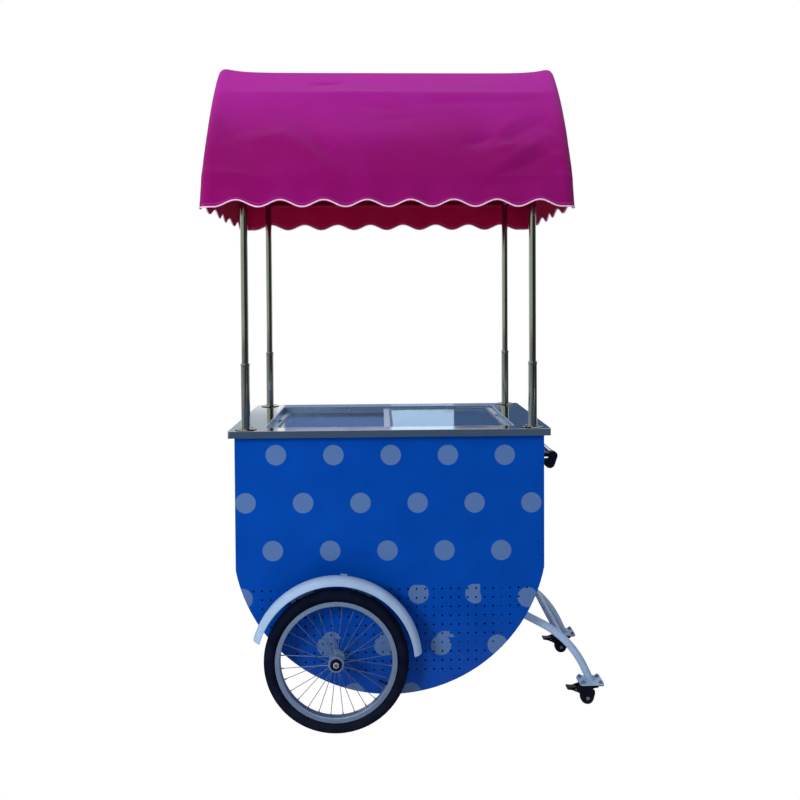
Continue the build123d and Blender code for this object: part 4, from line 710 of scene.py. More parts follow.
def set_world():
    """White to look at, and a soft even light."""
    world = bpy.data.worlds.new("studio")
    bpy.context.scene.world = world
    world.use_nodes = True
    tree = world.node_tree
    light = tree.nodes["Background"]
    feed(tree, light, {"Color": WORLD_TINT, "Strength": WORLD_STRENGTH})
    backdrop = add_node(tree, "ShaderNodeBackground", {"Color": WHITE, "Strength": 1.0})
    output = tree.nodes["World Output"]
    show_by_ray(tree, output, light.outputs["Background"], backdrop.outputs["Background"])


def stage_plane(name, location, size):
    """A plane that isn't part of the cart, with an empty material's nodes and their output."""
    plane = add_shape(bpy.ops.mesh.primitive_plane_add, size=size, location=location)
    plane.name = name
    material = bpy.data.materials.new(name)
    material.use_nodes = True
    tree = material.node_tree
    tree.nodes.clear()
    plane.data.materials.append(material)
    return plane, tree, add_node(tree, "ShaderNodeOutputMaterial")


def set_floor():
    """A wide white floor."""
    _, tree, output = stage_plane("studio_floor", (0, 0, 0), FLOOR_SIDE)
    paint = add_node(tree, "ShaderNodeBsdfDiffuse", {"Color": FLOOR_PAINT})
    white = add_node(tree, "ShaderNodeEmission")
    show_by_ray(tree, output, paint.outputs["BSDF"], white.outputs["Emission"])


def add_card(name, low, high, colour):
    """A flat card between two corners that only polished surfaces see."""
    low, high = Vector(low), Vector(high)
    size = high - low
    card, tree, output = stage_plane(name, (low + high) / 2, 1)
    if size.z == 0:
        card.scale = (size.x, size.y, 1)
    elif size.y == 0:
        card.scale = (size.x, size.z, 1)
        card.rotation_euler = (math.pi / 2, 0, 0)
    else:
        card.scale = (size.z, size.y, 1)
        card.rotation_euler = (0, math.pi / 2, 0)
    card.visible_camera = False
    card.visible_diffuse = False
    card.visible_shadow = False
    card.visible_transmission = False
    glow = add_node(tree, "ShaderNodeEmission", {"Color": (*colour, 1.0)})
    feed(tree, output, {"Surface": glow.outputs["Emission"]})


def add_lamp(name, place, width, height, power):
    """A soft rectangular lamp that faces the cart."""
    lamp = bpy.data.lights.new(name, "AREA")
    lamp.shape = "RECTANGLE"
    lamp.size = width
    lamp.size_y = height
    lamp.energy = power
    stand = add_object(name, lamp)
    stand.location = place
    stand.visible_glossy = False
    stand.rotation_euler = (LAMP_AIM - Vector(place)).to_track_quat("-Z", "Y").to_euler()


def set_studio():
    """The surroundings, the floor, the cards and the lamps."""
    set_world()
    set_floor()
    for name, card in CARDS.items():
        add_card(name, *card)
    for name, lamp in LAMPS.items():
        add_lamp(name, *lamp)


# Making pieces
def add_object(name, data):
    """A new object in the scene."""
    item = bpy.data.objects.new(name, data)
    bpy.context.scene.collection.objects.link(item)
    return item


def choose(*pieces):
    """Select these pieces alone, the first as the active one."""
    bpy.ops.object.select_all(action="DESELECT")
    for piece in pieces:
        piece.select_set(True)
    bpy.context.view_layer.objects.active = pieces[0]


def add_shape(operator, **sizes):
    """A new primitive, selected alone."""
    bpy.ops.object.select_all(action="DESELECT")
    operator(**sizes)
    return bpy.context.object


def add_cylinder(sides, radius, height):
    """A cylinder that stands on the origin, with its place in its mesh."""
    cylinder = add_shape(
        bpy.ops.mesh.primitive_cylinder_add,
        vertices=sides,
        radius=radius,
        depth=height,
        location=(0, 0, height / 2),
    )
    bpy.ops.object.transform_apply(location=True, rotation=False, scale=False)
    return cylinder


def edit_all(piece):
    """Open a piece in edit mode with everything selected."""
    choose(piece)
    bpy.ops.object.mode_set(mode="EDIT")
    bpy.ops.mesh.select_all(action="SELECT")


def select_faces(piece, test):
    """Select the faces that pass a test, in edit mode."""
    edit_all(piece)
    bpy.ops.mesh.select_mode(type="FACE")
    bpy.ops.mesh.select_all(action="DESELECT")
    bpy.ops.object.mode_set(mode="OBJECT")
    for face in piece.data.polygons:
        face.select = test(face)
    bpy.ops.object.mode_set(mode="EDIT")


def mend():
    """Join the points that meet, turn the faces outwards and leave edit mode."""
    bpy.ops.mesh.select_all(action="SELECT")
    bpy.ops.mesh.remove_doubles(threshold=MERGE_GAP)
    bpy.ops.mesh.normals_make_consistent(inside=False)
    bpy.ops.object.mode_set(mode="OBJECT")


def turned(sides, radius, length, steps):
    """A turned part that stands on the origin: a rod, and steps that carry on from its top."""
    rod = add_cylinder(sides, radius, length)
    select_faces(rod, lambda face: face.normal.z > UPRIGHT)
    for rise, width in steps:
        bpy.ops.mesh.extrude_region_move(TRANSFORM_OT_translate={"value": (0, 0, rise)})
        bpy.ops.transform.resize(value=(width, width, 1))
    bpy.ops.object.mode_set(mode="OBJECT")
    return rod


def apply_modifier(piece, kind, **settings):
    """Add a modifier with its settings and apply it."""
    modifier = piece.modifiers.new(kind.lower(), kind)
    for name, value in settings.items():
        setattr(modifier, name, value)
    choose(piece)
    bpy.ops.object.modifier_apply(modifier=modifier.name)


def round_edges(piece, width, angle=EDGE_ANGLE):
    """Round the edges of a piece that are sharper than an angle."""
    limit = math.radians(angle)
    apply_modifier(
        piece, "BEVEL", width=width, segments=EDGE_STEPS, limit_method="ANGLE", angle_limit=limit
    )


def join(pieces):
    """One piece made of several."""
    choose(*pieces)
    bpy.ops.object.join()
    return pieces[0]


def repeat(piece, placements):
    """One piece made of a copy of this one at each placement."""
    copies = []
    for placement in placements:
        copy = add_object(piece.name, piece.data.copy())
        copy.matrix_world = placement @ piece.matrix_world
        copies.append(copy)
    bpy.data.objects.remove(piece)
    bpy.context.view_layer.update()
    return join(copies)


def pointing(place, way):
    """A placement that turns +Z to a direction at a point."""
    return Matrix.Translation(place) @ Vector(way).to_track_quat("Z", "Y").to_matrix().to_4x4()


def finish_piece(piece, name, body, slot, finish=None, smooth_angle=SMOOTH_ANGLE):
    """Put a piece's place into its mesh, name and paint it, and let it ride on its body."""
    choose(piece)
    bpy.ops.object.transform_apply(location=True, rotation=True, scale=True)
    bpy.ops.object.shade_smooth_by_angle(angle=math.radians(smooth_angle))
    piece.name = name
    piece.data.name = name
    piece.data.materials.clear()
    piece.data.materials.append(FINISHES[finish or slot])
    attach(piece, body)
    return piece


# CAD nodes
def finish_of(node):
    """The name of a CAD node's finish: its own, or its slot's."""
    return NODE_FINISHES.get(node, SLOT_OF_NODE[node])


def dress_nodes():
    """Give every CAD node its finish."""
    for name, node in NODES.items():
        for slot in node.material_slots:
            slot.material = FINISHES[finish_of(name)]


def soften(node, width):
    """A copy of a CAD node with its sharp edges rounded, shown in its place."""
    name = node + "_softened"
    piece = add_object(name, NODES[node].data.copy())
    choose(piece)
    bpy.ops.mesh.customdata_custom_splitnormals_clear()
    edit_all(piece)
    bpy.ops.mesh.remove_doubles(threshold=MERGE_GAP)
    bpy.ops.mesh.dissolve_limited(angle_limit=math.radians(FLAT_ANGLE))
    bpy.ops.object.mode_set(mode="OBJECT")
    round_edges(piece, width, SHARP_ANGLE)
    finish_piece(piece, name, BODY_OF_NODE[node], SLOT_OF_NODE[node], finish_of(node), BEVEL_ANGLE)
    apply_modifier(piece, "WEIGHTED_NORMAL", keep_sharp=True, weight=FACE_WEIGHT)
    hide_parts(node)


# Canopy cover
def arc(centre, start, end, steps):
    """Points round a centre from just after the start to the end."""
    first = math.atan2(start.y - centre.y, start.x - centre.x)
    last = math.atan2(end.y - centre.y, end.x - centre.x)
    radius = (start - centre).length
    angles = [first + (last - first) * (step + 1) / steps for step in range(steps)]
    return [centre + radius * Vector((math.cos(angle), math.sin(angle))) for angle in angles]


def front_outline():
    """The cover's outline from the front hem up to the ridge, as points across and up."""
    hem = Vector((-HEM_HALF, HEM_Z))
    eave = Vector((VALANCE_SPLAY - HEM_HALF, HEM_Z + VALANCE_HEIGHT))
    ridge_centre = Vector((0, RIDGE_Z - RIDGE_RADIUS))
    span = ridge_centre - eave
    inner_radius = ROOF_RADIUS - RIDGE_RADIUS
    along = (ROOF_RADIUS**2 - inner_radius**2 + span.length_squared) / (2 * span.length)
    across = math.sqrt(ROOF_RADIUS**2 - along**2)
    way = span.normalized()
    roof_centre = eave + way * along + Vector((way.y, -way.x)) * across
    hang = (eave - hem).normalized()
    offset = hem + EAVE_BEND * Vector((hang.y, -hang.x)) - roof_centre
    lean = hang.dot(offset)
    climb = math.sqrt(lean**2 - offset.length_squared + (ROOF_RADIUS - EAVE_BEND) ** 2) - lean
    bend_centre = roof_centre + offset + hang * climb
    valance_top = hem + hang * climb
    roof_start = roof_centre + (bend_centre - roof_centre).normalized() * ROOF_RADIUS
    roof_end = roof_centre + (ridge_centre - roof_centre).normalized() * ROOF_RADIUS
    valance = [hem.lerp(valance_top, step / VALANCE_STEPS) for step in range(VALANCE_STEPS + 1)]
    bend = arc(bend_centre, valance_top, roof_start, BEND_STEPS)
    roof = arc(roof_centre, roof_start, roof_end, ROOF_STEPS)
    ridge = arc(ridge_centre, roof_end, Vector((0, RIDGE_Z)), BEND_STEPS)
    return valance + bend + roof + ridge


def cover_section():
    """The outline over both slopes with its normals, lengths from the front hem and shares of the slope."""
    front = front_outline()
    outline = front + [Vector((-point.x, point.y)) for point in reversed(front[:-1])]
    lengths = [0.0]
    for before, after in zip(outline, outline[1:]):
        lengths.append(lengths[-1] + (after - before).length)
    shares = [min(length, lengths[-1] - length) / (lengths[-1] / 2) for length in lengths]
    normals = []
    last = len(outline) - 1
    for place in range(len(outline)):
        tangent = outline[min(place + 1, last)] - outline[max(place - 1, 0)]
        normals.append(Vector((-tangent.y, tangent.x)).normalized())
    return outline, normals, lengths, shares


def cover_stations():
    """Distances along the cover from its left end, and how far its rounded corners draw in there."""
    corner = []
    for step in range(CORNER_STEPS + 1):
        angle = math.pi / 2 * (1 - step / CORNER_STEPS)
        corner.append((END_CORNER * (1 - math.sin(angle)), END_CORNER * (1 - math.cos(angle))))
    straight = 2 * (CANOPY_HALF - END_CORNER)
    steps = round(straight / CLOTH_STEP)
    middle = [(END_CORNER + straight * step / steps, 0.0) for step in range(1, steps)]
    right = [(2 * CANOPY_HALF - distance, inset) for distance, inset in reversed(corner)]
    return corner + middle + right


def hem_wave(distance, length, waves):
    """How far the hem is cut up here, from 0 to 1, with a flat stretch at both ends."""
    turn = (distance - HEM_FLAT) / (length - 2 * HEM_FLAT)
    if turn < 0 or turn > 1:
        return 0.0
    return (1 - math.cos(2 * math.pi * waves * turn)) / 2


def fold_height(x, share):
    """How far the soft folds lift the cloth here."""
    height = 0.0
    for (x0, share0), (x1, share1), width, rise in FOLDS:
        start = Vector((x0, share0 * SLOPE_LENGTH))
        run = Vector((x1, share1 * SLOPE_LENGTH)) - start
        spot = Vector((x, share * SLOPE_LENGTH)) - start
        along = max(0.0, min(1.0, spot.dot(run) / run.length_squared))
        off = (spot - run * along).length
        fade = math.sin(math.pi * (FOLD_FADE + (1 - 2 * FOLD_FADE) * along))
        height += rise * fade * math.exp(FOLD_ROUND - math.hypot(off / width, FOLD_ROUND))
    return height


def sag_depth(x, share):
    """How far the cloth hangs inside the hoops' line, resting on the rails."""
    hoop_gap = max(0.0, CANOPY_HALF - HOOP_INSET - abs(x))
    settled = 1 - math.exp(-hoop_gap / SAG_REACH)
    if share > SHOULDER_SHARE:
        depth = RAIL_REST + RIDGE_SAG * math.cos(math.pi / 2 * (1 - share) / (1 - SHOULDER_SHARE))
    elif share > EAVE_SHARE:
        climb = (share - EAVE_SHARE) / (SHOULDER_SHARE - EAVE_SHARE)
        depth = RAIL_REST + SLOPE_SAG * math.sin(math.pi * climb) * (SAG_AT_EAVE + (1 - SAG_AT_EAVE) * climb)
    else:
        depth = RAIL_REST * math.sin(math.pi / 2 * share / EAVE_SHARE)
    return settled * depth


def rail_room(share):
    """How far a fold may dip here before the cloth meets a rail."""
    return DIP_SLOPE * SLOPE_LENGTH * min(abs(share - EAVE_SHARE), abs(share - SHOULDER_SHARE))


def end_puff(height):
    """How far the cloth stands out beyond the hoops' ends at a height."""
    return END_PUFF * ((height - HEM_Z) / (RIDGE_Z - HEM_Z)) ** 2


def left_flare(x, share):
    """How far the cloth stands out at the left end near its hem."""
    near_end = max(0.0, 1 - (x + CANOPY_HALF) / FLARE_REACH)
    near_hem = max(0.0, 1 - share / FLARE_SHARE)
    return LEFT_FLARE * near_end**2 * near_hem


def roof_row(distance, inset, outline, normals, shares):
    """Points over both slopes at a distance from the left end."""
    x = distance - CANOPY_HALF
    wave = hem_wave(distance, 2 * CANOPY_HALF, FRONT_WAVES)
    row = []
    for place, (point, normal, share) in enumerate(zip(outline, normals, shares)):
        along = x if place < len(outline) // 2 else -x
        low = max(0.0, 1 - share / EAVE_SHARE)
        fold = max(fold_height(along, share), -rail_room(share))
        out = fold * (1 - low) - sag_depth(x, share) - inset
        out += FLUTTER * low * (2 * wave - 1) * (inset == 0)
        spot = point + normal * out
        height = HEM_Z if share == 0 else spot.y
        stretch = math.copysign(end_puff(height) * (x / CANOPY_HALF) ** PUFF_STEEPNESS, x)
        row.append((x + stretch - left_flare(x, share), spot.x, height + HEM_RISE * wave * low))
    return row


def end_rows(edge, sign):
    """Rows of points from the roof's edge down to the hem at one end."""
    rows = []
    for step in range(1, END_STEPS + 1):
        row = []
        for _, y, top in edge:
            height = top + (HEM_Z - top) * step / END_STEPS
            share = (height - HEM_Z) / (RIDGE_Z - HEM_Z)
            low = max(0.0, 1 - (height - HEM_Z) / VALANCE_HEIGHT)
            wave = hem_wave(y + HEM_HALF, 2 * HEM_HALF, END_WAVES)
            turn = END_FOLDS * y / HEM_HALF + END_FOLD_LEAN * share
            fold = END_FOLD * math.sin(turn) * step / END_STEPS
            x = sign * (CANOPY_HALF + fold + end_puff(height))
            flare = left_flare(-CANOPY_HALF, share) if sign < 0 else 0.0
            row.append((x - flare, y, min(top, height + HEM_RISE * wave * low)))
        rows.append(row)
    return rows


def sew_cover():
    """One continuous sheet over the hoops, with its thread directions and its distance from the hem."""
    outline, normals, lengths, shares = cover_section()
    roof = [roof_row(distance, inset, outline, normals, shares) for distance, inset in cover_stations()]
    left = end_rows(roof[0], ENDS["left"])
    rows = list(reversed(left)) + roof + end_rows(roof[-1], ENDS["right"])
    on_end = [row < END_STEPS or row >= len(rows) - END_STEPS for row in range(len(rows))]
    count = len(outline)
    points = [(BODY_X + x, y, z) for row in rows for x, y, z in row]
    faces = []
    for row in range(len(rows) - 1):
        for place in range(count - 1):
            corner = row * count + place
            faces.append((corner, corner + count, corner + count + 1, corner + 1))
    mesh = bpy.data.meshes.new("canopy_cover")
    mesh.from_pydata(points, [], faces)
    threads = mesh.uv_layers.new(name="threads")
    gap = mesh.attributes.new("hem_gap", "FLOAT", "POINT")
    for index, (_, _, z) in enumerate(points):
        row, place = divmod(index, count)
        gap.data[index].value = z - HEM_Z if on_end[row] else shares[place] * SLOPE_LENGTH
    for loop in mesh.loops:
        row, place = divmod(loop.vertex_index, count)
        x, y, z = points[loop.vertex_index]
        threads.data[loop.index].uv = (y, z) if on_end[row] else (x, lengths[place])
    cover = add_object("canopy_cover", mesh)
    edit_all(cover)
    mend()
    return cover


def sew_piping(cover):
    """A round piping along the whole hem."""
    edit_all(cover)
    bpy.ops.mesh.select_all(action="DESELECT")
    bpy.ops.mesh.select_mode(type="EDGE")
    bpy.ops.mesh.select_non_manifold()
    bpy.ops.mesh.duplicate()
    bpy.ops.mesh.separate(type="SELECTED")
    bpy.ops.object.mode_set(mode="OBJECT")
    piping = [piece for piece in bpy.context.selected_objects if piece != cover][0]
    choose(piping)
    bpy.ops.object.convert(target="CURVE")
    piping.data.bevel_depth = PIPING_RADIUS
    piping.data.bevel_resolution = PIPING_ROUNDNESS
    bpy.ops.object.convert(target="MESH")
    return finish_piece(piping, "canopy_piping", "canopy", "canopy_fabric", "piping_cloth", ROUND_ANGLE)


def make_canopy():
    """The cover with its lining side and its piping."""
    cover = sew_cover()
    piping = sew_piping(cover)
    cover.data.materials.clear()
    cover.data.materials.append(FINISHES["canopy_fabric"])
    cover.data.materials.append(FINISHES["canopy_inside"])
    apply_modifier(
        cover,
        "SOLIDIFY",
        thickness=CLOTH_THICKNESS,
        offset=-1,
        use_even_offset=True,
        material_offset=1,
    )
    choose(cover)
    bpy.ops.object.shade_smooth()
    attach(cover, "canopy")
    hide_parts("canopy_cloth")


# Wheel details
def wheel_point(radius, angle, y):
    """A point at a radius and an angle about the wheels' axle."""
    turn = math.radians(angle)
    return Vector((AXLE_X + radius * math.cos(turn), y, AXLE_Z + radius * math.sin(turn)))


def spin_about_axle(outline, angle, steps):
    """Sweep an outline about the wheels' axle, and close it."""
    edit_all(outline)
    bpy.ops.mesh.spin(steps=steps, angle=angle, center=wheel_point(0, 0, 0), axis=(0, 1, 0))
    mend()


def spoke_ends(sign):
    """The head and the tip of each spoke of a wheel, and the side of the flange that its head is on."""
    ends = []
    for lean in (-1, 1):
        for flange in (-1, 1):
            head_y = sign * WHEEL_Y + flange * HUB_FLANGE_OFFSET + lean * SPOKE_HEAD_OFFSET
            tip_y = sign * WHEEL_Y + flange * SPOKE_RIM_OFFSET
            for spoke in range(SPOKES_PER_WHEEL // 4):
                angle = SPOKE_PITCH * (4 * spoke + lean + flange / 2)
                head = wheel_point(SPOKE_HOLE_RADIUS, angle, head_y)
                tip = wheel_point(RIM_INNER_RADIUS, angle, tip_y)
                ends.append((head, tip, lean))
    return ends


def make_nipples(side, sign):
    """The nut that holds each spoke in the rim, with its narrow neck."""
    nipple = turned(SPOKE_SIDES, NIPPLE_RADIUS, NIPPLE_LENGTH, NIPPLE_STEPS)
    nipples = repeat(nipple, [pointing(tip, head - tip) for head, tip, _ in spoke_ends(sign)])
    finish_piece(nipples, f"spoke_nipples_{side}", f"wheel_{side}", "wheel_chrome", "nipple_brass")


def make_elbows(side, sign):
    """The bent end of each spoke that goes through the hub flange, and the button behind it."""
    elbow = turned(SPOKE_SIDES, SPOKE_RADIUS, 2 * SPOKE_HEAD_OFFSET, ELBOW_STEPS)
    elbows = repeat(elbow, [pointing(head, (0, -lean, 0)) for head, _, lean in spoke_ends(sign)])
    finish_piece(elbows, f"spoke_elbows_{side}", f"wheel_{side}", "wheel_chrome")


def make_hub_covers(side, sign):
    """A dished dust cover pressed on each end of a hub, over the spoke heads."""
    covers = []
    for end in (-1, 1):
        points = len(COVER_PROFILE)
        cover = add_shape(bpy.ops.mesh.primitive_circle_add, vertices=points, fill_type="NOTHING")
        for vertex, (radius, out) in zip(cover.data.vertices, COVER_PROFILE):
            vertex.co = (AXLE_X + radius, sign * WHEEL_Y + end * out, AXLE_Z)
        spin_about_axle(cover, 2 * math.pi, COVER_STEPS)
        covers.append(cover)
    finish_piece(join(covers), f"hub_covers_{side}", f"wheel_{side}", "wheel_chrome", "hub_alloy")


def make_valve(side, sign):
    """The tyre valve, with its nut on the rim and its cap."""
    valve = turned(VALVE_NUT_SIDES, VALVE_NUT_RADIUS, VALVE_NUT_HEIGHT, VALVE_STEPS)
    foot = wheel_point(RIM_INNER_RADIUS, VALVE_ANGLE, sign * WHEEL_Y)
    axle = wheel_point(0, 0, sign * WHEEL_Y)
    valve = repeat(valve, [pointing(foot, axle - foot)])
    finish_piece(valve, f"tyre_valve_{side}", f"wheel_{side}", "tyre_rubber", "black_plastic")


def make_mudguard_beads(side, sign):
    """The edges of a mudguard, rolled into round beads."""
    start = math.radians(MUDGUARD_FRONT_ANGLE)
    sweep = math.radians(MUDGUARD_REAR_ANGLE - MUDGUARD_FRONT_ANGLE)
    beads = []
    for edge in (-1, 1):
        y = sign * WHEEL_Y + edge * (MUDGUARD_HALF_WIDTH - MUDGUARD_BEAD_RADIUS / 2)
        bead = add_shape(
            bpy.ops.mesh.primitive_circle_add,
            vertices=MUDGUARD_BEAD_SIDES,
            radius=MUDGUARD_BEAD_RADIUS,
            fill_type="NGON",
        )
        place = wheel_point(MUDGUARD_LIP_RADIUS, MUDGUARD_FRONT_ANGLE, y)
        bead.matrix_world = pointing(place, (-math.sin(start), 0, math.cos(start)))
        bpy.ops.object.transform_apply(location=True, rotation=True, scale=True)
        spin_about_axle(bead, sweep, MUDGUARD_BEAD_STEPS)
        beads.append(bead)
    finish_piece(join(beads), f"mudguard_beads_{side}", "cart", "white_paint")


# Counter details
def add_screw(radius, height):
    """A screw with a domed head and a driver socket, standing on the origin."""
    steps = [(share * height, width) for share, width in SCREW_STEPS]
    return turned(SCREW_SIDES, radius, SCREW_SHANK * height, steps)


def pole_places(z):
    """The four poles' axes at a height."""
    return [Vector((BODY_X + end * POLE_X, side * POLE_Y, z)) for end in (-1, 1) for side in (-1, 1)]


def make_flange_screws():
    """Four screws through each pole flange."""
    screw = add_screw(SCREW_RADIUS, SCREW_HEIGHT)
    placements = []
    for place in pole_places(FLANGE_TOP):
        for angle in SCREW_ANGLES:
            turn = math.radians(angle)
            offset = SCREW_CIRCLE * Vector((math.cos(turn), math.sin(turn), 0))
            placements.append(Matrix.Translation(place + offset))
    finish_piece(repeat(screw, placements), "flange_screws", "cart", "bright_steel")


def rings_round_poles(sides, inner_radius, wall, height, rounding, z):
    """A ring with rounded edges round each pole at a height."""
    ring = add_cylinder(sides, inner_radius + wall, height)
    select_faces(ring, lambda face: abs(face.normal.z) > UPRIGHT)
    bpy.ops.mesh.inset(thickness=wall, use_individual=True)
    bpy.ops.mesh.bridge_edge_loops()
    mend()
    round_edges(ring, rounding)
    return repeat(ring, [Matrix.Translation(place) for place in pole_places(z)])


def make_sleeve_collars():
    """A turned ring round the top of each pole sleeve."""
    foot = SLEEVE_HIGH.z - COLLAR_HEIGHT
    collars = rings_round_poles(
        COLLAR_SIDES, SLEEVE_RADIUS, COLLAR_WALL, COLLAR_HEIGHT, COLLAR_ROUND, foot
    )
    finish_piece(collars, "sleeve_collars", "cart", "stainless")


def make_flange_shadow_gaskets():
    """A thin black gasket round the foot of each pole flange, a dark ring put there as painted shade for the
    shadow line under the flange.
    """
    shadow_gaskets = rings_round_poles(
        SHADOW_GASKET_SIDES, FLANGE_RADIUS, SHADOW_GASKET_EDGE, SHADOW_GASKET_HEIGHT, SHADOW_GASKET_ROUND, SLEEVE_LOW.z
    )
    finish_piece(shadow_gaskets, "flange_shadow_gaskets", "cart", "black_plastic")


def make_glass_bead(end):
    """The soft strip that holds a lid's pane in its frame."""
    low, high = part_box(f"lid_{end}_glass")
    middle = (low + high) / 2
    bead = add_shape(bpy.ops.mesh.primitive_plane_add, size=1, location=(middle.x, middle.y, high.z))
    bead.scale = (high.x - low.x, high.y - low.y, 1)
    bpy.ops.object.transform_apply(location=True, rotation=True, scale=True)
    edit_all(bead)
    bpy.ops.mesh.inset(thickness=GLASS_BEAD_WIDTH)
    bpy.ops.mesh.delete(type="FACE")
    bpy.ops.mesh.select_all(action="SELECT")
    bpy.ops.mesh.extrude_region_move(TRANSFORM_OT_translate={"value": (0, 0, GLASS_BEAD_HEIGHT)})
    mend()
    round_edges(bead, GLASS_BEAD_ROUND)
    finish_piece(bead, f"lid_{end}_bead", f"lid_{end}", "liner_plastic", "glazing_strip")


# Handle, leg and caster details
def make_handle_screws(side):
    """Two screws through the foot of a handle bracket into the end panel."""
    low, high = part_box(f"handle_bracket_{side}")
    x = low.x + HANDLE_FOOT
    y = (low.y + high.y) / 2
    heights = (high.z - HANDLE_SCREW_INSET, low.z + HANDLE_SCREW_INSET)
    screw = add_screw(SCREW_RADIUS, SCREW_HEIGHT)
    screws = repeat(screw, [pointing((x, y, z), (1, 0, 0)) for z in heights])
    finish_piece(screws, f"handle_screws_{side}", "cart", "bright_steel")


def make_leg_welds():
    """The weld round the foot of each leg, with the ripples of its puddle."""
    welds = []
    for sign in SIDES.values():
        weld = add_shape(
            bpy.ops.mesh.primitive_torus_add,
            major_segments=WELD_STEPS,
            minor_segments=WELD_SIDES,
            major_radius=LEG_RADIUS + WELD_RADIUS / 2,
            minor_radius=WELD_RADIUS,
        )
        for vertex in weld.data.vertices:
            angle = math.atan2(vertex.co.y, vertex.co.x)
            vertex.co.z *= 1 + WELD_RIPPLE * math.sin(WELD_RIPPLES * angle)
        weld.scale = (1 / math.sin(math.radians(LEG_FOOT_ANGLE)), 1, 1)
        weld.location = (CASTER_X, sign * CASTER_Y, LEG_PLATE_TOP)
        bpy.ops.object.transform_apply(location=True, rotation=True, scale=True)
        welds.append(weld)
    finish_piece(join(welds), "leg_welds", "cart", "white_paint", smooth_angle=ROUND_ANGLE)


def make_caster_rivets(side, sign):
    """Bright rivets at the ends of a caster's axle and of its pedal's pin."""
    placements = []
    for face in (-1, 1):
        axle_end = (CASTER_X - CASTER_TRAIL, sign * CASTER_Y + face * RIVET_FACE, CASTER_WHEEL_Z)
        pin_end = (PEDAL_X, sign * CASTER_Y + face * FORK_FACE, PEDAL_Z)
        placements.append(pointing(axle_end, (0, face, 0)))
        placements.append(pointing(pin_end, (0, face, 0)) @ Matrix.Scale(PIN_SHARE, 4))
    rivets = repeat(add_screw(RIVET_RADIUS, RIVET_HEIGHT), placements)
    finish_piece(rivets, f"caster_rivets_{side}", f"caster_{side}", "bright_steel", "bolt_zinc")


def make_small_parts():
    """Everything that the wheels, counter, handle, legs and casters carry."""
    for side, sign in SIDES.items():
        make_nipples(side, sign)
        make_elbows(side, sign)
        make_hub_covers(side, sign)
        make_valve(side, sign)
        make_mudguard_beads(side, sign)
        make_caster_rivets(side, sign)
    for end in ENDS:
        make_glass_bead(end)
    make_flange_screws()
    make_flange_shadow_gaskets()
    make_sleeve_collars()
    for side in SIDES:
        make_handle_screws(side)
    make_leg_welds()


# The shared effects, each built once
SMUDGES = make_smudges()
FINE_GRAIN = make_fine_grain()
GROUND_DUST = make_ground_dust()
POLKA_DOTS = make_polka_dots()
FILM_PATCH = make_film_patch()
CLOTH_WEAVE = make_cloth_weave()
TYRE_TREAD = make_tyre_tread()

# Grain: how many times it changes in a metre along X, Y and Z
EVEN_GRAIN = (160.0, 160.0, 160.0)
PAINT_GRAIN = (180.0, 180.0, 180.0)
FOAM_GRAIN = (320.0, 320.0, 320.0)
MOULDED_GRAIN = (420.0, 420.0, 420.0)
YARN_GRAIN = (900.0, 900.0, 900.0)
BRUSHED_ALONG_X = (12.0, 1400.0, 1400.0)
BRUSHED_ALONG_Z = (1400.0, 1400.0, 12.0)

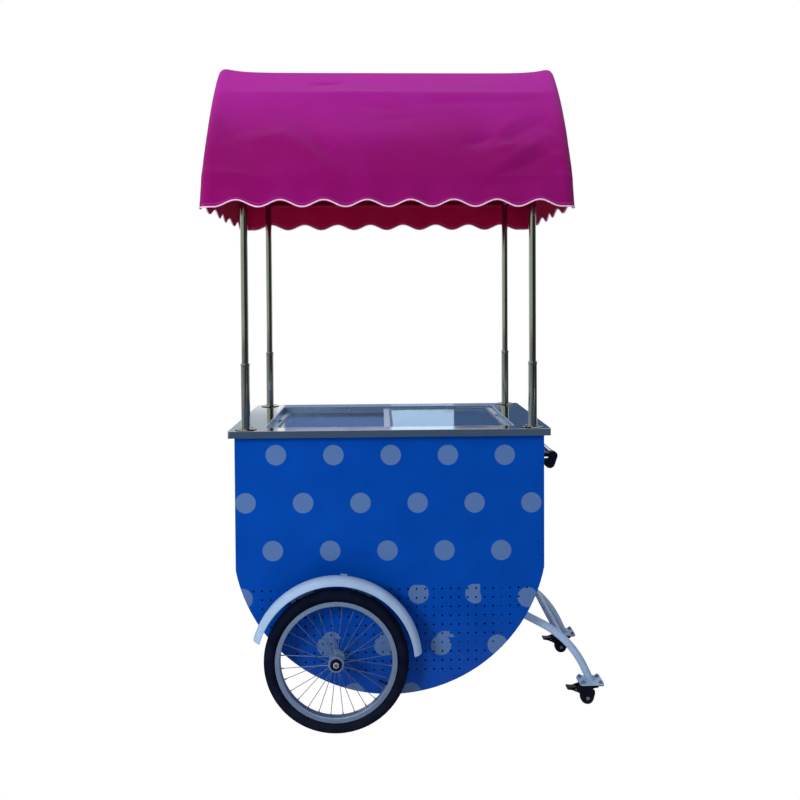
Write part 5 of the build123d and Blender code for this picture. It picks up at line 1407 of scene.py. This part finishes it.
# Plain finishes: colour on a screen, metallic, roughness from and to, breadth of the smudges in metres,
# grain and its strength, then dust and specular level where a finish has its own
PLAIN_FINISHES = {
    "frame_steel": ((112, 116, 122), 0.85, 0.38, 0.55, 0.06, EVEN_GRAIN, 0.2, 0.3),
    "insulation": ((214, 205, 178), 0.0, 0.75, 0.9, 0.05, FOAM_GRAIN, 0.6),
    "liner_plastic": ((196, 206, 222), 0.0, 0.30, 0.45, 0.12, EVEN_GRAIN, 0.12),
    "lid_aluminium": ((154, 180, 216), 0.8, 0.22, 0.36, 0.08, BRUSHED_ALONG_X, 0.03),
    "unit_black": ((24, 25, 28), 0.0, 0.40, 0.60, 0.05, EVEN_GRAIN, 0.3, 0.4),
    "condenser_aluminium": ((168, 172, 176), 1.0, 0.3, 0.5, 0.04, EVEN_GRAIN, 0.2),
    "fan_plastic": ((34, 35, 38), 0.0, 0.45, 0.6, 0.03, EVEN_GRAIN, 0.2),
    "bright_steel": ((196, 200, 206), 1.0, 0.18, 0.32, 0.02, EVEN_GRAIN, 0.1),
    "rim_aluminium": ((146, 166, 198), 0.6, 0.24, 0.38, 0.06, EVEN_GRAIN, 0.12, 0.15),
    "wheel_chrome": ((206, 210, 218), 1.0, 0.08, 0.20, 0.05, EVEN_GRAIN, 0.05),
    "white_paint": ((152, 178, 212), 0.0, 0.32, 0.48, 0.10, EVEN_GRAIN, 0.12, 0.05),
    "black_plastic": ((7, 10, 34), 0.0, 0.36, 0.52, 0.03, MOULDED_GRAIN, 0.3, 0.0, 0.18),
    "caster_steel": ((8, 9, 28), 0.0, 0.36, 0.55, 0.03, EVEN_GRAIN, 0.2, 0.04, 0.1),
    "caster_rubber": ((8, 9, 28), 0.0, 0.5, 0.7, 0.02, EVEN_GRAIN, 0.3, 0.05, 0.1),
    # The canopy tube's crimson is painted light, the red glow through the cloth, so that it sinks into the
    # canopy's shade
    "canopy_tube": ((150, 5, 56), 0.0, 0.45, 0.6, 0.05, EVEN_GRAIN, 0.1, 0.0, 0.1),
    "counter_steel": ((205, 209, 216), 1.0, 0.05, 0.11, 0.18, BRUSHED_ALONG_X, 0.03),
    "pole_steel": ((178, 182, 180), 1.0, 0.06, 0.13, 0.10, BRUSHED_ALONG_Z, 0.03),
    "spoke_steel": ((140, 158, 192), 0.8, 0.18, 0.30, 0.03, EVEN_GRAIN, 0.08),
    "hub_alloy": ((118, 146, 186), 0.4, 0.26, 0.40, 0.02, EVEN_GRAIN, 0.10),
    "nut_zinc": ((206, 212, 222), 0.4, 0.22, 0.34, 0.01, EVEN_GRAIN, 0.08),
    "glazing_strip": ((104, 116, 150), 0.0, 0.5, 0.65, 0.02, EVEN_GRAIN, 0.2),
    "nipple_brass": ((170, 166, 152), 1.0, 0.2, 0.35, 0.01, EVEN_GRAIN, 0.1),
    "bolt_zinc": ((112, 132, 160), 0.4, 0.32, 0.46, 0.01, EVEN_GRAIN, 0.1),
    "piping_cloth": ((232, 182, 222), 0.0, 0.6, 0.75, 0.02, YARN_GRAIN, 0.3),
}

# Finishes of the record's slots, and of single nodes and pieces
FINISHES = {
    name: surface(name, screen_colour(*colour), *values)
    for name, (colour, *values) in PLAIN_FINISHES.items()
}
FINISHES["body_paint"] = surface(
    "blue_paint",
    PANEL_BLUE,
    metallic=0.0,
    smooth=PAINT_SMOOTH,
    rough=PAINT_ROUGH,
    patch=PAINT_PATCH,
    stretch=EVEN_GRAIN,
    bump=0.10,
    dust=0.12,
    specular=PAINT_GLOSS,
)
FINISHES["side_paint"] = dotted_paint("side_panel_paint", "X")
FINISHES["end_paint"] = dotted_paint("end_panel_paint", "Y")
FINISHES["stainless"] = FINISHES["pole_steel"]
FINISHES["lid_glass"] = lid_glass("lid_glass")
FINISHES["tyre_rubber"] = tyre_rubber("tyre_rubber")
# The outside is painted lighter towards the ridge: painted light where the top faces up, painted shade
# towards the hem
FINISHES["canopy_fabric"] = canopy_fabric(
    "canopy_outside",
    ridge_colour=screen_colour(153, 27, 138),
    hem_colour=screen_colour(125, 4, 93),
    specular=0.08,
)
# The inside is painted a little lighter at the hem than at the ridge, painted light and shade as well
FINISHES["canopy_inside"] = canopy_fabric(
    "canopy_inside",
    ridge_colour=screen_colour(150, 3, 54),
    hem_colour=screen_colour(160, 2, 58),
    specular=0.05,
)

# CAD nodes with a finish of their own
NODE_FINISHES = {
    "side_panel_near": "side_paint",
    "side_panel_far": "side_paint",
    "end_panel_left": "end_paint",
    "end_panel_right": "end_paint",
    "countertop": "counter_steel",
    "caster_bolts": "bolt_zinc",
    "spokes_near": "spoke_steel",
    "spokes_far": "spoke_steel",
    "hub_near": "hub_alloy",
    "hub_far": "hub_alloy",
    "axle_nuts": "nut_zinc",
    "mudguard_brackets": "white_paint",
}

set_camera()
set_studio()
bpy.context.scene.view_settings.view_transform = "Standard"
dress_nodes()
for node, width in SOFT_EDGES.items():
    soften(node, width)
make_canopy()
make_small_parts()
